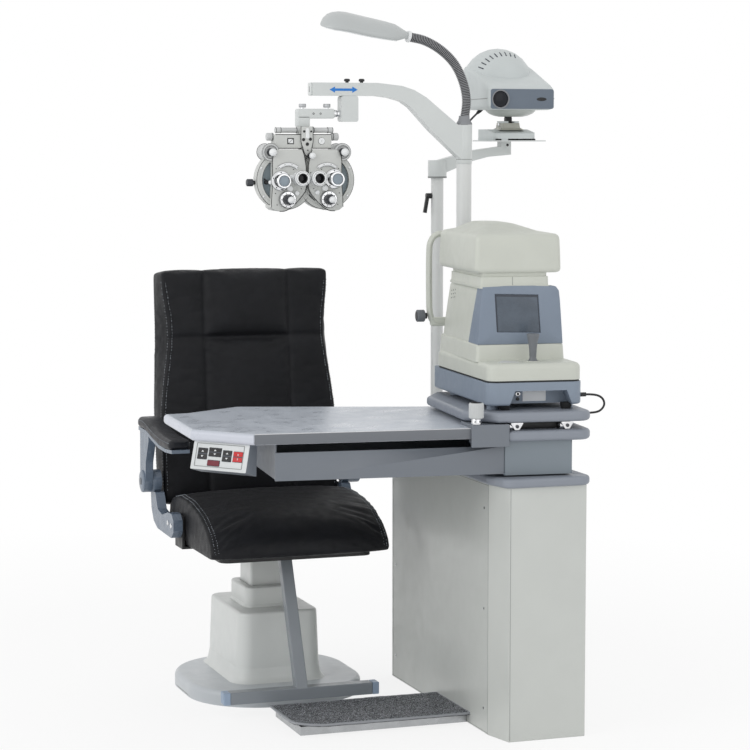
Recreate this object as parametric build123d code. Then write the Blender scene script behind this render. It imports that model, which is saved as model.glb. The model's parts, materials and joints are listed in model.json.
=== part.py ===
"""Ophthalmic examination chair combined with its instrument stand.

Millimetres. The origin is on the floor under the chair's lift axis, +Z is up, and the seated
patient faces -Y. The stand is on the patient's left, at +X. Each function below makes one
sub-part, and export() writes each of them to its own STEP file.
"""
import os
from math import atan2, cos, degrees, hypot, radians, sin, tan

from build123d import *

# ------------------------------------------------------------------ clearances
running_gap = 0.3          # between faces that move past each other
pin_clearance = 0.1        # radial, round a hinge pin
guide_clearance = 2.5      # round the lift column in its collar

# ------------------------------------------------------------------ chair base
base_width = 450
base_depth = 478
base_height = 38
base_centre_y = -32
base_corner = 185
base_edge = 14
cover_width = 208
cover_depth = 302
cover_centre_y = 1
cover_top = 216
cover_corner = 30
cover_draft = 7
cover_wall = 4
collar_width = 136
collar_depth = 160
collar_top = 267
collar_corner = 22
column_width = 96
column_depth = 100
column_wall = 5
column_foot = 52
column_top = 350
column_cap = 12
actuator_radius = 31
actuator_top = 236
ram_radius = 15
ram_foot = 70
boss_radius = 28
boss_floor = 12

# ------------------------------------------------------------------ seat
turntable_radius = 85
pivot_radius = 18
pivot_length = 40
pan_thickness = 12
pan_inset = 37              # from the cushion's side to the pan's
pan_front = -300
pan_rear = 60
seat_bottom = 385
seat_top = 525
seat_width = 464
seat_front = -350
seat_rear = 84
seat_corner = 55
seat_crown_edge = 34
seat_lower_edge = 14
tongue_width = 124
tongue_rear = 124
ear_inset = 40             # half the space between the back's hinge ears
ear_thickness = 12
ear_top = 420
ear_front = 97
back_pivot_y = 112
back_pivot_z = 404
back_pin_radius = 6

# ------------------------------------------------------------------ footrest
footbar_size = 30
footbar_bottom = 34
footbar_length = 400
footbar_x = -6
footbar_cap = 17
footbar_y = -340
post_top_y = -205

# ------------------------------------------------------------------ backrest
back_lean = 5.7
back_bottom = 470
back_front_y = 89.5
back_height = 602
back_thickness = 84
back_bottom_inset = 2      # from the seat's side to the back's, at three heights
back_waist_inset = -5
back_top_inset = 7
back_waist_height = 200
back_corner = 48
back_edge = 20
spar_width = 60
spar_thickness = 8
spar_height = 430
spar_sleeve_radius = 14

# ------------------------------------------------------------------ armrests
arm_gap = 8                # between the seat and an armrest
arm_foot_thickness = 24
bracket_thickness = 6
bracket_top_z = 462
arm_pivot_y = 106
arm_pivot_z = 527
knuckle_radius = 29
knuckle_inset = 6
knuckle_thickness = 24
arm_pin_radius = 8
arm_web_thickness = 20
rail_inset = 9
rail_width = 46
rail_thickness = 9
pad_inset = 4
pad_width = 56
pad_edge = 9
# side views as (y, z): the lower arm, the web that turns on it, the wavy pad's underside and top
lower_arm_side = [(128, 500), (122, 455), (100, 425), (60, 410), (-80, 406), (-104, 424),
                  (-104, 452), (-84, 468), (-48, 467), (10, 452), (55, 460), (80, 500)]
arm_web_side = [(134, 520), (78, 520), (72, 580), (40, 640), (50, 664), (128, 666), (132, 600)]
pad_under = [(-214, 646), (-150, 642), (-85, 644), (-15, 654), (50, 665), (128, 667)]
pad_over = [(130, 688), (100, 693), (50, 692), (-15, 680), (-85, 671), (-150, 668), (-214, 668)]

# ------------------------------------------------------------------ cabinet
cabinet_left = 343
cabinet_right = 556
cabinet_front = -790
cabinet_rear = -30
cabinet_height = 600
cabinet_wall = 3
cabinet_flange = 32
bevel_run = 19
bevel_depth = 83
plate_overhang = 12
plate_thickness = 22
plate_corner = 30
plate_edge = 8
screw_radius = 3.2
screw_head = 1.6

# ------------------------------------------------------------------ foot tray
tray_left = -78
tray_front = -569
tray_depth = 204
tray_height = 22
tray_wall = 2
mat_left = -90
mat_front = -590
mat_depth = 225
mat_thickness = 8

# ------------------------------------------------------------------ swing table
spindle_x = 441.5
spindle_y = -619.5
table_angle = -6
spindle_radius = 22
spindle_length = 66
shoulder_radius = 42
shoulder_height = 3.7
swing_left = -66
swing_right = 100
swing_front = -145
swing_rear = 130
swing_height = 80
swing_wall = 5
bearing_wall = 10
lower_left = -58
platform_right = 146
platform_front = -162
lower_rear = 300
board_thickness = 25
board_corner = 34
board_edge = 9
table_left = -798
table_front = -156
table_rear = 305
table_right = -62
# the rear edge from right to left; its left part is cut back to let the armrest rise past it
table_rear_edge = [(-200, 330), (-600, 419), (-745, 305), (table_left, 295)]
table_rise = 8             # above the swing box
table_thickness = 26
table_edge = 10
chamfer_left_y = -31
chamfer_right_x = -660
chamfer_left_x = -784
housing_left = -606
housing_rear = 160
housing_lift = 6           # above the swing box's bottom
housing_wall = 3
drawer_overlap = 2
drawer_front_thickness = 6
drawer_drop = 19           # below the tabletop
drawer_wall = 2
drawer_side_gap = 4
bracket_left = -150
bracket_right = -59
bracket_depth = 96
bracket_wall = 8
knob_x = -135
knob_y = -150
knob_radius = 17.5
knob_neck_radius = 12
knob_neck = 14
knob_height = 50
box_left = -84.5
box_right = 71.5
box_depth = 44
box_height = 66            # down its face
box_inset = 12
box_tilt = 16              # the panel looks up by this much
box_heel = 4
switch_pocket = 9
switch_proud = 3
switch_sunk = 3
# name: (centre along the panel, width, height, distance down the panel)
switches = {
    "lift_switch": (-55.5, 26, 27.5, 28.8),
    "lamp_switch": (-20.8, 34, 22, 23.8),
    "instrument_switch": (13.5, 24.5, 27.5, 30.4),
    "power_switch": (44, 26, 26, 30.5),
}

# ------------------------------------------------------------------ sliding platform
roller_radius = 9.2
roller_length = 26
upper_left = -153
upper_rear = 335
upper_thickness = 24
knob_chamfer_x = 68
knob_chamfer_y = 72
rear_chamfer_x = 46
rear_chamfer_y = 95

# ------------------------------------------------------------------ autorefractor
base_left = -100
base_right = 132
base_front = -125
base_rear = 340
base_flare = 14            # the left side's slant
foot_height = 12
instrument_base_height = 53.7
base_round = 26
foot_radius = 13
foot_inset_x = 38
foot_inset_y = 50
recess_left = -34
recess_right = 92
recess_depth = 46
recess_height = 34
recess_slope = 14
deck_front = -122
deck_rear = 312
deck_height = 44
body_left = -98
body_right = 112
body_front = -25
body_height = 173
body_taper_x = 12
body_taper_y = 40
neck_left = -90
neck_right = 76
neck_rear = 250
neck_height = 33
head_left = -106
head_right = 106
head_front = -33
head_rise = 92
head_round = 18
hump_rise = 23
hump_foot = [(-84, 10), (84, 10), (84, 296), (-84, 296)]
hump_crown = [(-44, 110), (12, 110), (12, 262), (-44, 262)]
slide_post = 44
slide_depth = 42
slide_post_x = 7
slide_post_y = 120
joystick_x = 24
joystick_y = -72
joystick_ball = 11
joystick_foot_radius = 8
joystick_top_radius = 15
joystick_height = 66
frame_front = 326
frame_depth = 14
frame_bar = 22
frame_left = -130
frame_right = 144
frame_column_height = 100.3
frame_height = 236
frame_column_left = -16
frame_column_right = 48
chin_cup_radius = 26
chin_cup_height = 10
chin_knob_radius = 15
chin_knob_length = 26
chin_knob_rise = 25
gland_radius = 5
gland_length = 14
gland_y = -100
gland_rise = 20
refractor_cord_radius = 2.6

# ------------------------------------------------------------------ poles and phoropter arm
pole_x = 467
pole_y = -219
pole_radius = 19
pole_bore = 15
pole_top = 1341.7
post_x = 447
post_y = -81
post_radius = 16
post_bore = 12
arm_plane_half = 16
arm_wall = 3
arm_head_radius = 20
arm_head_top = 1439
arm_foot_rise = 11.3
arm_stub_length = 90
arm_end_x = 62
arm_straight_x = 232
arm_under = 1510
arm_top = 1542
# the bent part of the arm as (x, z): its underside going out, its top coming back
arm_bend_under = [(264, 1506), (296, 1497), (318, 1483), (373, 1425)]
arm_bend_top = [(360, 1507), (328, 1525), (296, 1535)]
slot_left = 72
slot_right = 216
slot_half = 5
slider_left = 137
slider_right = 181
slider_bottom = 1446
slider_neck_half = 4.5
slider_plate = 4
hanger_z = 1466
hanger_pin_radius = 8
hanger_pin_depth = 14
hanger_half = 12
phoropter_x = 41
phoropter_y = -230
stem_half = 16
stem_bottom = 1434.3
stem_pin_radius = 6
stem_pin_length = 28
thumb_radius = 9
thumb_head = 9
thumb_top = 1490
thumb_right_x = 104

# ------------------------------------------------------------------ phoropter
bridge_half = 71
bridge_bottom = 1382
bridge_top = 1420
bridge_depth = 36
centre_half = 18
end_knob_radius = 9
end_knob_length = 26
end_knob_z = 1408
half_gap = 0.4
disc_offset = 52.6
disc_z = 1304
disc_radius = 57
disc_depth = 60
drum_radius = 73
drum_depth = 30
lobe_radius = 27
dial_offset = 52.7
dial_z = 1256.7
dial_radius = 20
dial_depth = 10
dial_shaft_radius = 4
dial_shaft_length = 12
dial_knob_radius = 8
dial_knob_length = 16
eye_offset = 24
eye_z = 1305
eye_radius = 20
eye_bore = 9
eye_proud = 22
eye_depth = 8
upper_dial_offset = 89.5
upper_dial_z = 1370
upper_dial_radius = 24
upper_dial_front = -284
upper_dial_rear = -252

# ------------------------------------------------------------------ lamp
socket_bottom_radius = 20
socket_top_radius = 14
socket_height = 18
socket_pin_radius = 8
socket_pin_length = 30
gooseneck_radius = 12
gooseneck_route = [(468, 1455), (473, 1500), (464, 1545), (441, 1590), (405, 1624), (362, 1647), (322, 1656)]
lamp_roll = -28
# along the lamp, half its thickness, half its breadth
lamp_sections = [(0, 11, 11), (34, 17, 27), (80, 22, 42), (140, 25, 49), (200, 21, 40), (230, 8, 16)]

# ------------------------------------------------------------------ chart projector
clamp_radius = 24
clamp_bottom = 1304
clamp_top = 1349
beam_half = 13
beam_end_x = 646
beam_socket_x = 618
# the beam from the side as (x, z): its top going out, its underside coming back
beam_over = [(540, 1374), (618, 1384)]
beam_below = [(646, 1363), (583, 1357.5), (540, 1347)]
tray_bottom = 1397
tray_plate = 3
tray_x = 635
tray_half_x = 75
tray_y = -106
tray_half_y = 66
projector_x = 630.5
housing_x = 625.5          # middle of the projector's housing
projector_half = 92
projector_base_half_x = 57
projector_base_half_y = 62
projector_base_height = 28
projector_base_front = 18
projector_front = -215
projector_under = 1477
panel_top = 1531
projector_top = 1592
projector_rear = -18
dome_radius = 93
dome_x = 620
dome_y = -60
dome_z = 1544
dome_rear = 24
tilt_y = -110
tilt_z = 1446
tilt_pin_radius = 3
tilt_lug_radius = 8
tilt_lug_half = 8
pedestal_half = 23
pedestal_top = 1449
bowl_bottom = 1460
bowl_bottom_radius = 35
bowl_top_radius = 62
lever_z = 1258
lever_hub_radius = 7
lever_hub_length = 14
lever_screw_radius = 3
lever_reach = 44
lever_lean = 10
lever_thickness = 8
projector_cord_radius = 2.5
cord_sleeve_length = 15
cord_sleeve_gap = 1              # lets the housing tilt without pinching its lead
beam_grommet_radius = 5

# ------------------------------------------------------------------ sizes that follow
pan_width = seat_width - 2 * pan_inset
arm_inner = seat_width / 2 + arm_gap
knuckle_inner = arm_inner + knuckle_inset
pan_bottom = seat_bottom - pan_thickness
footbar_top = footbar_bottom + footbar_size
plate_top = cabinet_height + plate_thickness
swing_bottom = plate_top + shoulder_height + running_gap
swing_top = swing_bottom + swing_height
table_under = swing_top + table_rise
table_top = table_under + table_thickness
drawer_top = table_under - drawer_drop
lower_top = swing_top + board_thickness
upper_bottom = lower_top + 2 * (roller_radius + running_gap)
upper_top = upper_bottom + upper_thickness
bracket_top = table_top + bracket_wall
housing_right = swing_left
housing_front = table_front + 16
housing_bottom = swing_bottom + housing_lift
slide_floor = housing_bottom + housing_wall + running_gap
base_bottom = upper_top + foot_height
base_top = base_bottom + instrument_base_height
deck_bottom = base_top + running_gap
deck_top = deck_bottom + deck_height
body_top = deck_top + body_height
head_bottom = body_top + neck_height
frame_cross = base_top + frame_column_height
frame_top = frame_cross + frame_height
chin_knob_z = frame_cross + chin_knob_rise
gland_z = base_bottom + gland_rise
projector_floor = tray_bottom + tray_plate
projector_base_top = projector_floor + projector_base_height
drawer_front_face = housing_front - running_gap - drawer_front_thickness


# ================================================================== helpers
def block(x, y, z):
    """Box between two limits along each axis."""
    size = Box(x[1] - x[0], y[1] - y[0], z[1] - z[0])
    return Pos(sum(x) / 2, sum(y) / 2, sum(z) / 2) * size


def slab(points, z):
    """Outline in the floor plane, raised between two heights."""
    face = make_face(Polyline(*points, close=True))
    return Pos(0, 0, z[0]) * extrude(face, amount=z[1] - z[0])


def side_slab(points, x):
    """Outline given as (y, z), thick along X."""
    plane = Plane(origin=(x[0], 0, 0), x_dir=(0, 1, 0), z_dir=(1, 0, 0))
    return extrude(plane * make_face(Polyline(*points, close=True)), amount=x[1] - x[0])


def front_slab(points, y):
    """Outline given as (x, z), thick along Y."""
    plane = Plane(origin=(0, y[1], 0), x_dir=(1, 0, 0), z_dir=(0, -1, 0))
    return extrude(plane * make_face(Polyline(*points, close=True)), amount=y[1] - y[0])


def post(x, y, z, radius):
    """Upright round bar between two heights."""
    return Pos(x, y, sum(z) / 2) * Cylinder(radius, z[1] - z[0])


def cross_bar(x, y, z, radius):
    """Round bar along X."""
    return Pos(sum(x) / 2, y, z) * Rot(0, 90, 0) * Cylinder(radius, x[1] - x[0])


def depth_bar(x, y, z, radius):
    """Round bar along Y."""
    return Pos(x, sum(y) / 2, z) * Rot(90, 0, 0) * Cylinder(radius, y[1] - y[0])


def upright_edges(shape):
    return shape.edges().filter_by(Axis.Z)


def top_edges(shape):
    return shape.faces().sort_by(Axis.Z)[-1].edges()


def bottom_edges(shape):
    return shape.faces().sort_by(Axis.Z)[0].edges()


def rounded_board(points, z, corner, edge):
    """Board with rounded corners and a rounded rim."""
    board = slab(points, z)
    board = fillet(upright_edges(board), corner)
    return fillet(top_edges(board) + bottom_edges(board), edge)


def on_table(shape):
    """Move a shape from the swing table's own axes to its place over the spindle."""
    return Pos(spindle_x, spindle_y, 0) * Rot(0, 0, table_angle) * shape


def leaned(y, z):
    """Height and depth of a point of the leaning back, from its own upright axes."""
    angle = radians(back_lean)
    return (back_front_y + y * cos(angle) + z * sin(angle), back_bottom - y * sin(angle) + z * cos(angle))


def route_radii(points):
    """One bend radius for each inner point: as large as its two runs allow."""
    radii = []
    for before, here, after in zip(points, points[1:], points[2:]):
        turn = (here - before).get_angle(after - here)
        shorter = min((here - before).length, (after - here).length)
        radii.append(0.45 * shorter / tan(radians(turn) / 2))
    return radii


def tube(name, route, radius):
    """Solid tube along straight runs joined by tangent arcs, with its volume compared."""
    points = [Vector(*point) for point in route]
    radii = route_radii(points)
    path = FilletPolyline(*points, radius=radii)
    section = Plane(origin=path @ 0, z_dir=path % 0) * Circle(radius)
    solid = sweep(section, path=path)
    expected = section.area * path.length
    print(name, "radii", [round(r) for r in radii], "length", round(path.length),
          "volume ratio", round(solid.volume / expected, 4))
    return solid


# ================================================================== chair base and lift
def chair_base_plate():
    plate = Pos(0, base_centre_y, 0) * extrude(
        RectangleRounded(base_width, base_depth, base_corner), amount=base_height)
    return fillet(top_edges(plate), base_edge)


def tapered_shell(grow):
    """The cover's lower tier, smaller all round by the wall where it is cut away."""
    low = RectangleRounded(cover_width + 2 * cover_draft - 2 * grow, cover_depth + 2 * cover_draft - 2 * grow,
                           cover_corner + cover_draft - grow)
    high = RectangleRounded(cover_width - 2 * grow, cover_depth - 2 * grow, cover_corner - grow)
    tier = loft([Pos(0, 0, base_height) * low, Pos(0, 0, cover_top - grow) * high])
    return Pos(0, cover_centre_y, 0) * tier


def collar(grow, top):
    outline = RectangleRounded(collar_width - 2 * grow, collar_depth - 2 * grow, collar_corner - grow)
    return Pos(0, 0, cover_top - cover_wall) * extrude(outline, amount=top - cover_top + cover_wall)


def chair_base_cover():
    tier = tapered_shell(0)
    tier = fillet(top_edges(tier), 8)
    upper = fillet(top_edges(collar(0, collar_top)), 5)
    shell = tier + upper - tapered_shell(cover_wall) - collar(cover_wall, collar_top - cover_wall)
    half_x = column_width / 2 + guide_clearance
    half_y = column_depth / 2 + guide_clearance
    return shell - block((-half_x, half_x), (-half_y, half_y), (cover_top, collar_top + 1))


def lift_actuator():
    body = post(0, 0, (base_height, actuator_top), actuator_radius)
    return body - post(0, 0, (ram_foot - 10, actuator_top), ram_radius + pin_clearance)


def lift_column():
    half_x = column_width / 2
    half_y = column_depth / 2
    inner_x = half_x - column_wall
    inner_y = half_y - column_wall
    column = fillet(upright_edges(block((-half_x, half_x), (-half_y, half_y), (column_foot, column_top))), 6)
    column -= block((-inner_x, inner_x), (-inner_y, inner_y), (column_foot, column_top - column_cap))
    bore_floor = column_top - pivot_length - 2
    column += post(0, 0, (bore_floor - boss_floor, column_top - column_cap), boss_radius)
    column += post(0, 0, (ram_foot, bore_floor), ram_radius)
    return column - post(0, 0, (bore_floor, column_top), pivot_radius + pin_clearance)


# ================================================================== seat
def arm_bracket(side):
    """Steel angle from under the seat pan to the foot of an armrest."""
    outer = arm_inner
    inner = outer - bracket_thickness
    y = (-98, -28)
    level = seat_bottom - bracket_thickness
    leg = block((pan_width / 2 - 5, outer), y, (level, seat_bottom))
    upright = block((inner, outer), y, (level, bracket_top_z))
    angle = leg + upright
    return angle if side > 0 else mirror(angle, about=Plane.YZ)


def seat_frame():
    half = pan_width / 2
    frame = fillet(upright_edges(block((-half, half), (pan_front, pan_rear), (pan_bottom, seat_bottom))), 25)
    frame += block((-tongue_width / 2, tongue_width / 2), (pan_rear - 5, tongue_rear), (pan_bottom, seat_bottom))
    frame += post(0, 0, (column_top + running_gap, pan_bottom), turntable_radius)
    frame += post(0, 0, (column_top - pivot_length, column_top + running_gap), pivot_radius)
    ears = [(ear_inset, ear_inset + ear_thickness), (-ear_inset - ear_thickness, -ear_inset)]
    for ear in ears:
        frame += block(ear, (ear_front, tongue_rear), (seat_bottom, ear_top))
    for side in (1, -1):
        frame += arm_bracket(side)
    reach = ear_inset + ear_thickness
    return frame - cross_bar((-reach, reach), back_pivot_y, back_pivot_z, back_pin_radius + pin_clearance)


def seat_cushion():
    half = seat_width / 2
    cushion = fillet(upright_edges(block((-half, half), (seat_front, seat_rear), (seat_bottom, seat_top))),
                     seat_corner)
    cushion = fillet(top_edges(cushion), seat_crown_edge)
    return fillet(bottom_edges(cushion), seat_lower_edge)


def footrest_frame():
    half = footbar_size / 2
    length = footbar_length / 2 - footbar_cap
    bar = block((footbar_x - length, footbar_x + length), (footbar_y - half, footbar_y + half),
                (footbar_bottom, footbar_top))
    strut = side_slab([(footbar_y - half, footbar_top), (footbar_y + half, footbar_top),
                       (post_top_y + half, pan_bottom), (post_top_y - half, pan_bottom)],
                      (footbar_x - half, footbar_x + half))
    return bar + strut


def footrest_caps():
    caps = []
    half = footbar_size / 2
    for side in (-1, 1):
        tip = footbar_x + side * footbar_length / 2
        ends = sorted((tip, tip - side * footbar_cap))
        cap = block(ends, (footbar_y - half, footbar_y + half), (footbar_bottom, footbar_top))
        outer_face = cap.faces().sort_by(Axis.X)[-1 if side > 0 else 0]
        caps.append(fillet(outer_face.edges(), 3))
    return Compound(caps)


# ================================================================== backrest
def back_outline():
    """Half-widths of the backrest at each height, as a closed outline."""
    half = seat_width / 2
    right = [(half - back_bottom_inset, 0), (half - back_waist_inset, back_waist_height),
             (half - back_top_inset, back_height)]
    left = [(-x, z) for x, z in reversed(right)]
    return right + left


def backrest_cushion():
    cushion = front_slab(back_outline(), (0, back_thickness))
    corners = cushion.edges().filter_by(Axis.Y)
    tips = corners.sort_by(Axis.Z)[-2:] + corners.sort_by(Axis.Z)[:2]
    cushion = fillet(tips, back_corner)
    cushion = fillet(cushion.faces().sort_by(Axis.Y)[0].edges(), back_edge)
    cushion = fillet(cushion.faces().sort_by(Axis.Y)[-1].edges(), back_edge / 2)
    return Pos(0, back_front_y, back_bottom) * Rot(-back_lean, 0, 0) * cushion


def back_spar():
    """Flat bar behind the backrest, joined to its hinge sleeve under the seat's rear edge."""
    half = spar_width / 2
    rear = back_thickness + spar_thickness
    outline = [leaned(back_thickness, spar_height), leaned(back_thickness, -26), (back_pivot_y, 416),
               (back_pivot_y, 394), leaned(rear, -62), leaned(rear, spar_height)]
    spar = side_slab(outline, (-half, half))
    sleeve = ear_inset - running_gap
    spar += cross_bar((-sleeve, sleeve), back_pivot_y, back_pivot_z, spar_sleeve_radius)
    reach = ear_inset + ear_thickness
    return spar + cross_bar((-reach, reach), back_pivot_y, back_pivot_z, back_pin_radius)


# ================================================================== armrests
def sided(shape, side):
    return shape if side > 0 else mirror(shape, about=Plane.YZ)


def armrest_base(side):
    """Curved lower arm, bolted to the seat's bracket and carrying the flip-up hinge."""
    lower = side_slab(lower_arm_side, (arm_inner, arm_inner + arm_foot_thickness))
    lower = fillet(lower.edges().filter_by(Axis.X), 6)
    knuckle = (knuckle_inner, knuckle_inner + knuckle_thickness)
    lower += cross_bar(knuckle, arm_pivot_y, arm_pivot_z, knuckle_radius)
    pin_end = knuckle[1] + running_gap + arm_web_thickness
    lower += cross_bar((knuckle[0], pin_end), arm_pivot_y, arm_pivot_z, arm_pin_radius)
    return sided(lower, side)


def armrest(side):
    """Upper arm: hinge disc, web and the rim that carries the pad."""
    inner = knuckle_inner + knuckle_thickness + running_gap
    outer = inner + arm_web_thickness
    web = side_slab(arm_web_side, (inner, outer))
    web += cross_bar((inner, outer), arm_pivot_y, arm_pivot_z, knuckle_radius)
    lower = [(y, z - rail_thickness) for y, z in pad_under]
    rail_x = (arm_inner + rail_inset, arm_inner + rail_inset + rail_width)
    rail = side_slab(pad_under + lower[::-1], rail_x)
    arm = web + rail
    above = [(pad_under[-1][0], pad_over[0][1] + 40), (pad_under[0][0], pad_over[0][1] + 40)]
    arm -= side_slab(pad_under + above, (rail_x[0] - 10, rail_x[1] + 10))
    arm -= cross_bar((inner, outer), arm_pivot_y, arm_pivot_z, arm_pin_radius + pin_clearance)
    return sided(arm, side)


def armrest_pad(side):
    inner = arm_inner + pad_inset
    pad = side_slab(pad_under + pad_over, (inner, inner + pad_width))
    pad = fillet(pad.edges().filter_by(Axis.Z, reverse=True).filter_by(
        lambda edge: edge.bounding_box().size.X < 1 and edge.center().Z > 667), pad_edge)
    return sided(pad, side)


# ================================================================== cabinet
def cabinet_outline(inset):
    """Plan of the cabinet, with its bevelled front left edge."""
    left = cabinet_left + inset
    right = cabinet_right - inset
    front = cabinet_front + inset
    rear = cabinet_rear - inset
    return [(cabinet_left + bevel_run + inset * 0.8, front), (right, front), (right, rear), (left, rear),
            (left, cabinet_front + bevel_depth)]


def cabinet_body():
    shell = slab(cabinet_outline(0), (0, cabinet_height))
    shell -= slab(cabinet_outline(cabinet_wall), (cabinet_wall, cabinet_height - cabinet_wall))
    return shell - slab(cabinet_outline(cabinet_flange), (0, cabinet_wall))


def cabinet_screws():
    """Screw heads down both edges of the chair-side panel."""
    screws = []
    for y in (cabinet_front + bevel_depth + 26, cabinet_rear - 30):
        for z in (60, cabinet_height / 2, cabinet_height - 60):
            head = cross_bar((cabinet_left - screw_head, cabinet_left), y, z, screw_radius)
            screws.append(head)
    return Compound(screws)


def cabinet_top_plate():
    left = cabinet_left - plate_overhang
    right = cabinet_right + plate_overhang
    front = cabinet_front - plate_overhang
    rear = cabinet_rear + plate_overhang
    outline = [(left + bevel_run, front), (right, front), (right, rear), (left, rear),
               (left, front + bevel_depth)]
    plate = rounded_board(outline, (cabinet_height, plate_top), plate_corner, plate_edge)
    plate += post(spindle_x, spindle_y, (plate_top, plate_top + shoulder_height), shoulder_radius)
    top = plate_top + shoulder_height
    return plate + post(spindle_x, spindle_y, (top, top + spindle_length), spindle_radius)


def foot_tray():
    """Folded stainless tray, open underneath."""
    x = (tray_left, cabinet_left)
    y = (tray_front, tray_front + tray_depth)
    tray = block(x, y, (0, tray_height))
    inner_x = (tray_left + tray_wall, cabinet_left - tray_wall)
    inner_y = (y[0] + tray_wall, y[1] - tray_wall)
    return tray - block(inner_x, inner_y, (0, tray_height - tray_wall))


def foot_mat():
    x = (mat_left, cabinet_left - running_gap)
    return block(x, (mat_front, mat_front + mat_depth), (tray_height, tray_height + mat_thickness))


# ================================================================== poles
def main_pole():
    pole = post(pole_x, pole_y, (plate_top, pole_top), pole_radius)
    return pole - post(pole_x, pole_y, (plate_top + 10, pole_top), pole_bore)


def projector_post():
    tall = post(post_x, post_y, (plate_top, clamp_top - 8), post_radius)
    tall -= post(post_x, post_y, (plate_top + 10, clamp_top - 8), post_bore)
    return tall - cross_bar((post_x - post_radius - 1, post_x), post_y, lever_z,
                            lever_screw_radius + pin_clearance)


# ================================================================== swing table
def swing_box():
    body = block((swing_left, swing_right), (swing_front, swing_rear), (swing_bottom, swing_top))
    body = fillet(upright_edges(body), 4)
    wall = swing_wall
    body -= block((swing_left + wall, swing_right - wall), (swing_front + wall, swing_rear - wall),
                  (swing_bottom, swing_top - wall))
    body += post(0, 0, (swing_bottom, swing_top - wall / 2), spindle_radius + bearing_wall)
    spindle_top = plate_top + shoulder_height + spindle_length
    return on_table(body - post(0, 0, (swing_bottom, spindle_top + running_gap), spindle_radius + pin_clearance))


def lower_platform():
    outline = [(lower_left, platform_front), (platform_right, platform_front), (platform_right, lower_rear),
               (lower_left, lower_rear)]
    board = slab(outline, (swing_top, lower_top))
    right = upright_edges(board).sort_by(Axis.X)[-2:]
    board = fillet(right, board_corner)
    return on_table(fillet(top_edges(board) + bottom_edges(board), board_edge))


def tabletop():
    outline = [(chamfer_left_x, chamfer_left_y), (chamfer_right_x, table_front),
               (table_right, table_front), (table_right, table_rear)]
    outline += table_rear_edge
    board = slab(outline, (table_under, table_top))
    return on_table(fillet(top_edges(board) + bottom_edges(board), table_edge))


def table_bracket():
    """Channel that grips the tabletop's front edge beside the platform."""
    front = table_front - 10
    rear = front + bracket_depth
    x = (bracket_left, bracket_right)
    plate = block(x, (front, table_front - running_gap), (drawer_top + 1, bracket_top))
    plate = plate + block(x, (front, rear), (table_top, bracket_top))
    lip = block(x, (front, housing_front - 1), (table_under - bracket_wall, table_under))
    plate = plate + lip
    return on_table(plate)


def table_lock_knob():
    foot = bracket_top + running_gap
    knob = post(knob_x, knob_y, (foot, foot + knob_neck), knob_neck_radius)
    grip = post(knob_x, knob_y, (foot + knob_neck, foot + knob_height), knob_radius)
    grip = fillet(top_edges(grip), 3)
    return on_table(knob + grip)


def drawer_housing():
    x = (housing_left, housing_right)
    y = (housing_front, housing_rear)
    shell = block(x, y, (housing_bottom, table_under))
    inner_x = (x[0] + housing_wall, x[1] - housing_wall)
    inner = block(inner_x, (y[0], y[1] - housing_wall), (housing_bottom + housing_wall, table_under))
    return on_table(shell - inner)


def drawer_tray():
    front = block((housing_left - drawer_overlap, housing_right - 0.5),
                  (drawer_front_face, housing_front - running_gap), (housing_bottom - 2, drawer_top))
    x = (housing_left + housing_wall + drawer_side_gap, housing_right - housing_wall - drawer_side_gap)
    y = (housing_front - running_gap, housing_rear - housing_wall - drawer_side_gap)
    tray = block(x, y, (slide_floor, drawer_top - 4))
    inner_x = (x[0] + drawer_wall, x[1] - drawer_wall)
    tray -= block(inner_x, (y[0], y[1] - drawer_wall), (slide_floor + drawer_wall, drawer_top - 4))
    return on_table(front + tray)


# ================================================================== control box
def on_control_box(shape):
    """Axes of the control box: X along its panel, -Y out of the tabletop's edge."""
    run_x = chamfer_right_x - chamfer_left_x
    run_y = table_front - chamfer_left_y
    middle = ((chamfer_left_x + chamfer_right_x) / 2, (chamfer_left_y + table_front) / 2)
    return on_table(Pos(middle[0], middle[1], 0) * Rot(0, 0, degrees(atan2(run_y, run_x))) * shape)


def tilted(shape):
    """Leans a shape with the panel, about the panel's upper edge."""
    return Pos(0, box_inset, table_under) * Rot(-box_tilt, 0, 0) * Pos(0, -box_inset, -table_under) * shape


def control_box():
    """Box whose panel looks up, hung under the tabletop's corner."""
    lean = sin(radians(box_tilt))
    upright = cos(radians(box_tilt))
    toe = (box_inset - box_height * lean, table_under - box_height * upright)
    heel = (toe[0] + box_depth * upright, toe[1] - box_depth * lean)
    profile = [(box_inset, table_under), toe, heel, (heel[0] + box_heel, table_under)]
    box = side_slab(profile, (box_left, box_right))
    for centre, width, height, drop in switches.values():
        x = (centre - width / 2, centre + width / 2)
        z = (table_under - drop - height / 2, table_under - drop + height / 2)
        box -= tilted(block(x, (box_inset - 1, box_inset + switch_pocket), z))
    return on_control_box(box)


def rocker(name):
    """Rocker with a ridge at its middle, on a pivot just behind the panel's face."""
    centre, width, height, drop = switches[name]
    middle = table_under - drop
    half_z = height / 2 - 1.5
    x = (centre - width / 2 + running_gap, centre + width / 2 - running_gap)
    face = box_inset
    outline = [(face - switch_proud, middle - half_z), (face - 1, middle), (face - switch_proud, middle + half_z),
               (face + switch_sunk, middle + half_z), (face + switch_sunk, middle - half_z)]
    return on_control_box(tilted(side_slab(outline, x)))


# ================================================================== sliding platform
def platform_rollers():
    """Rollers between the two platforms, in two rows."""
    rollers = []
    for x in (-40, 82):
        for y in (platform_front + 24, 240):
            centre_z = (lower_top + upper_bottom) / 2
            roller = cross_bar((x - roller_length / 2, x + roller_length / 2), y, centre_z, roller_radius)
            rollers.append(on_table(roller))
    return Compound(rollers)


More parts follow.
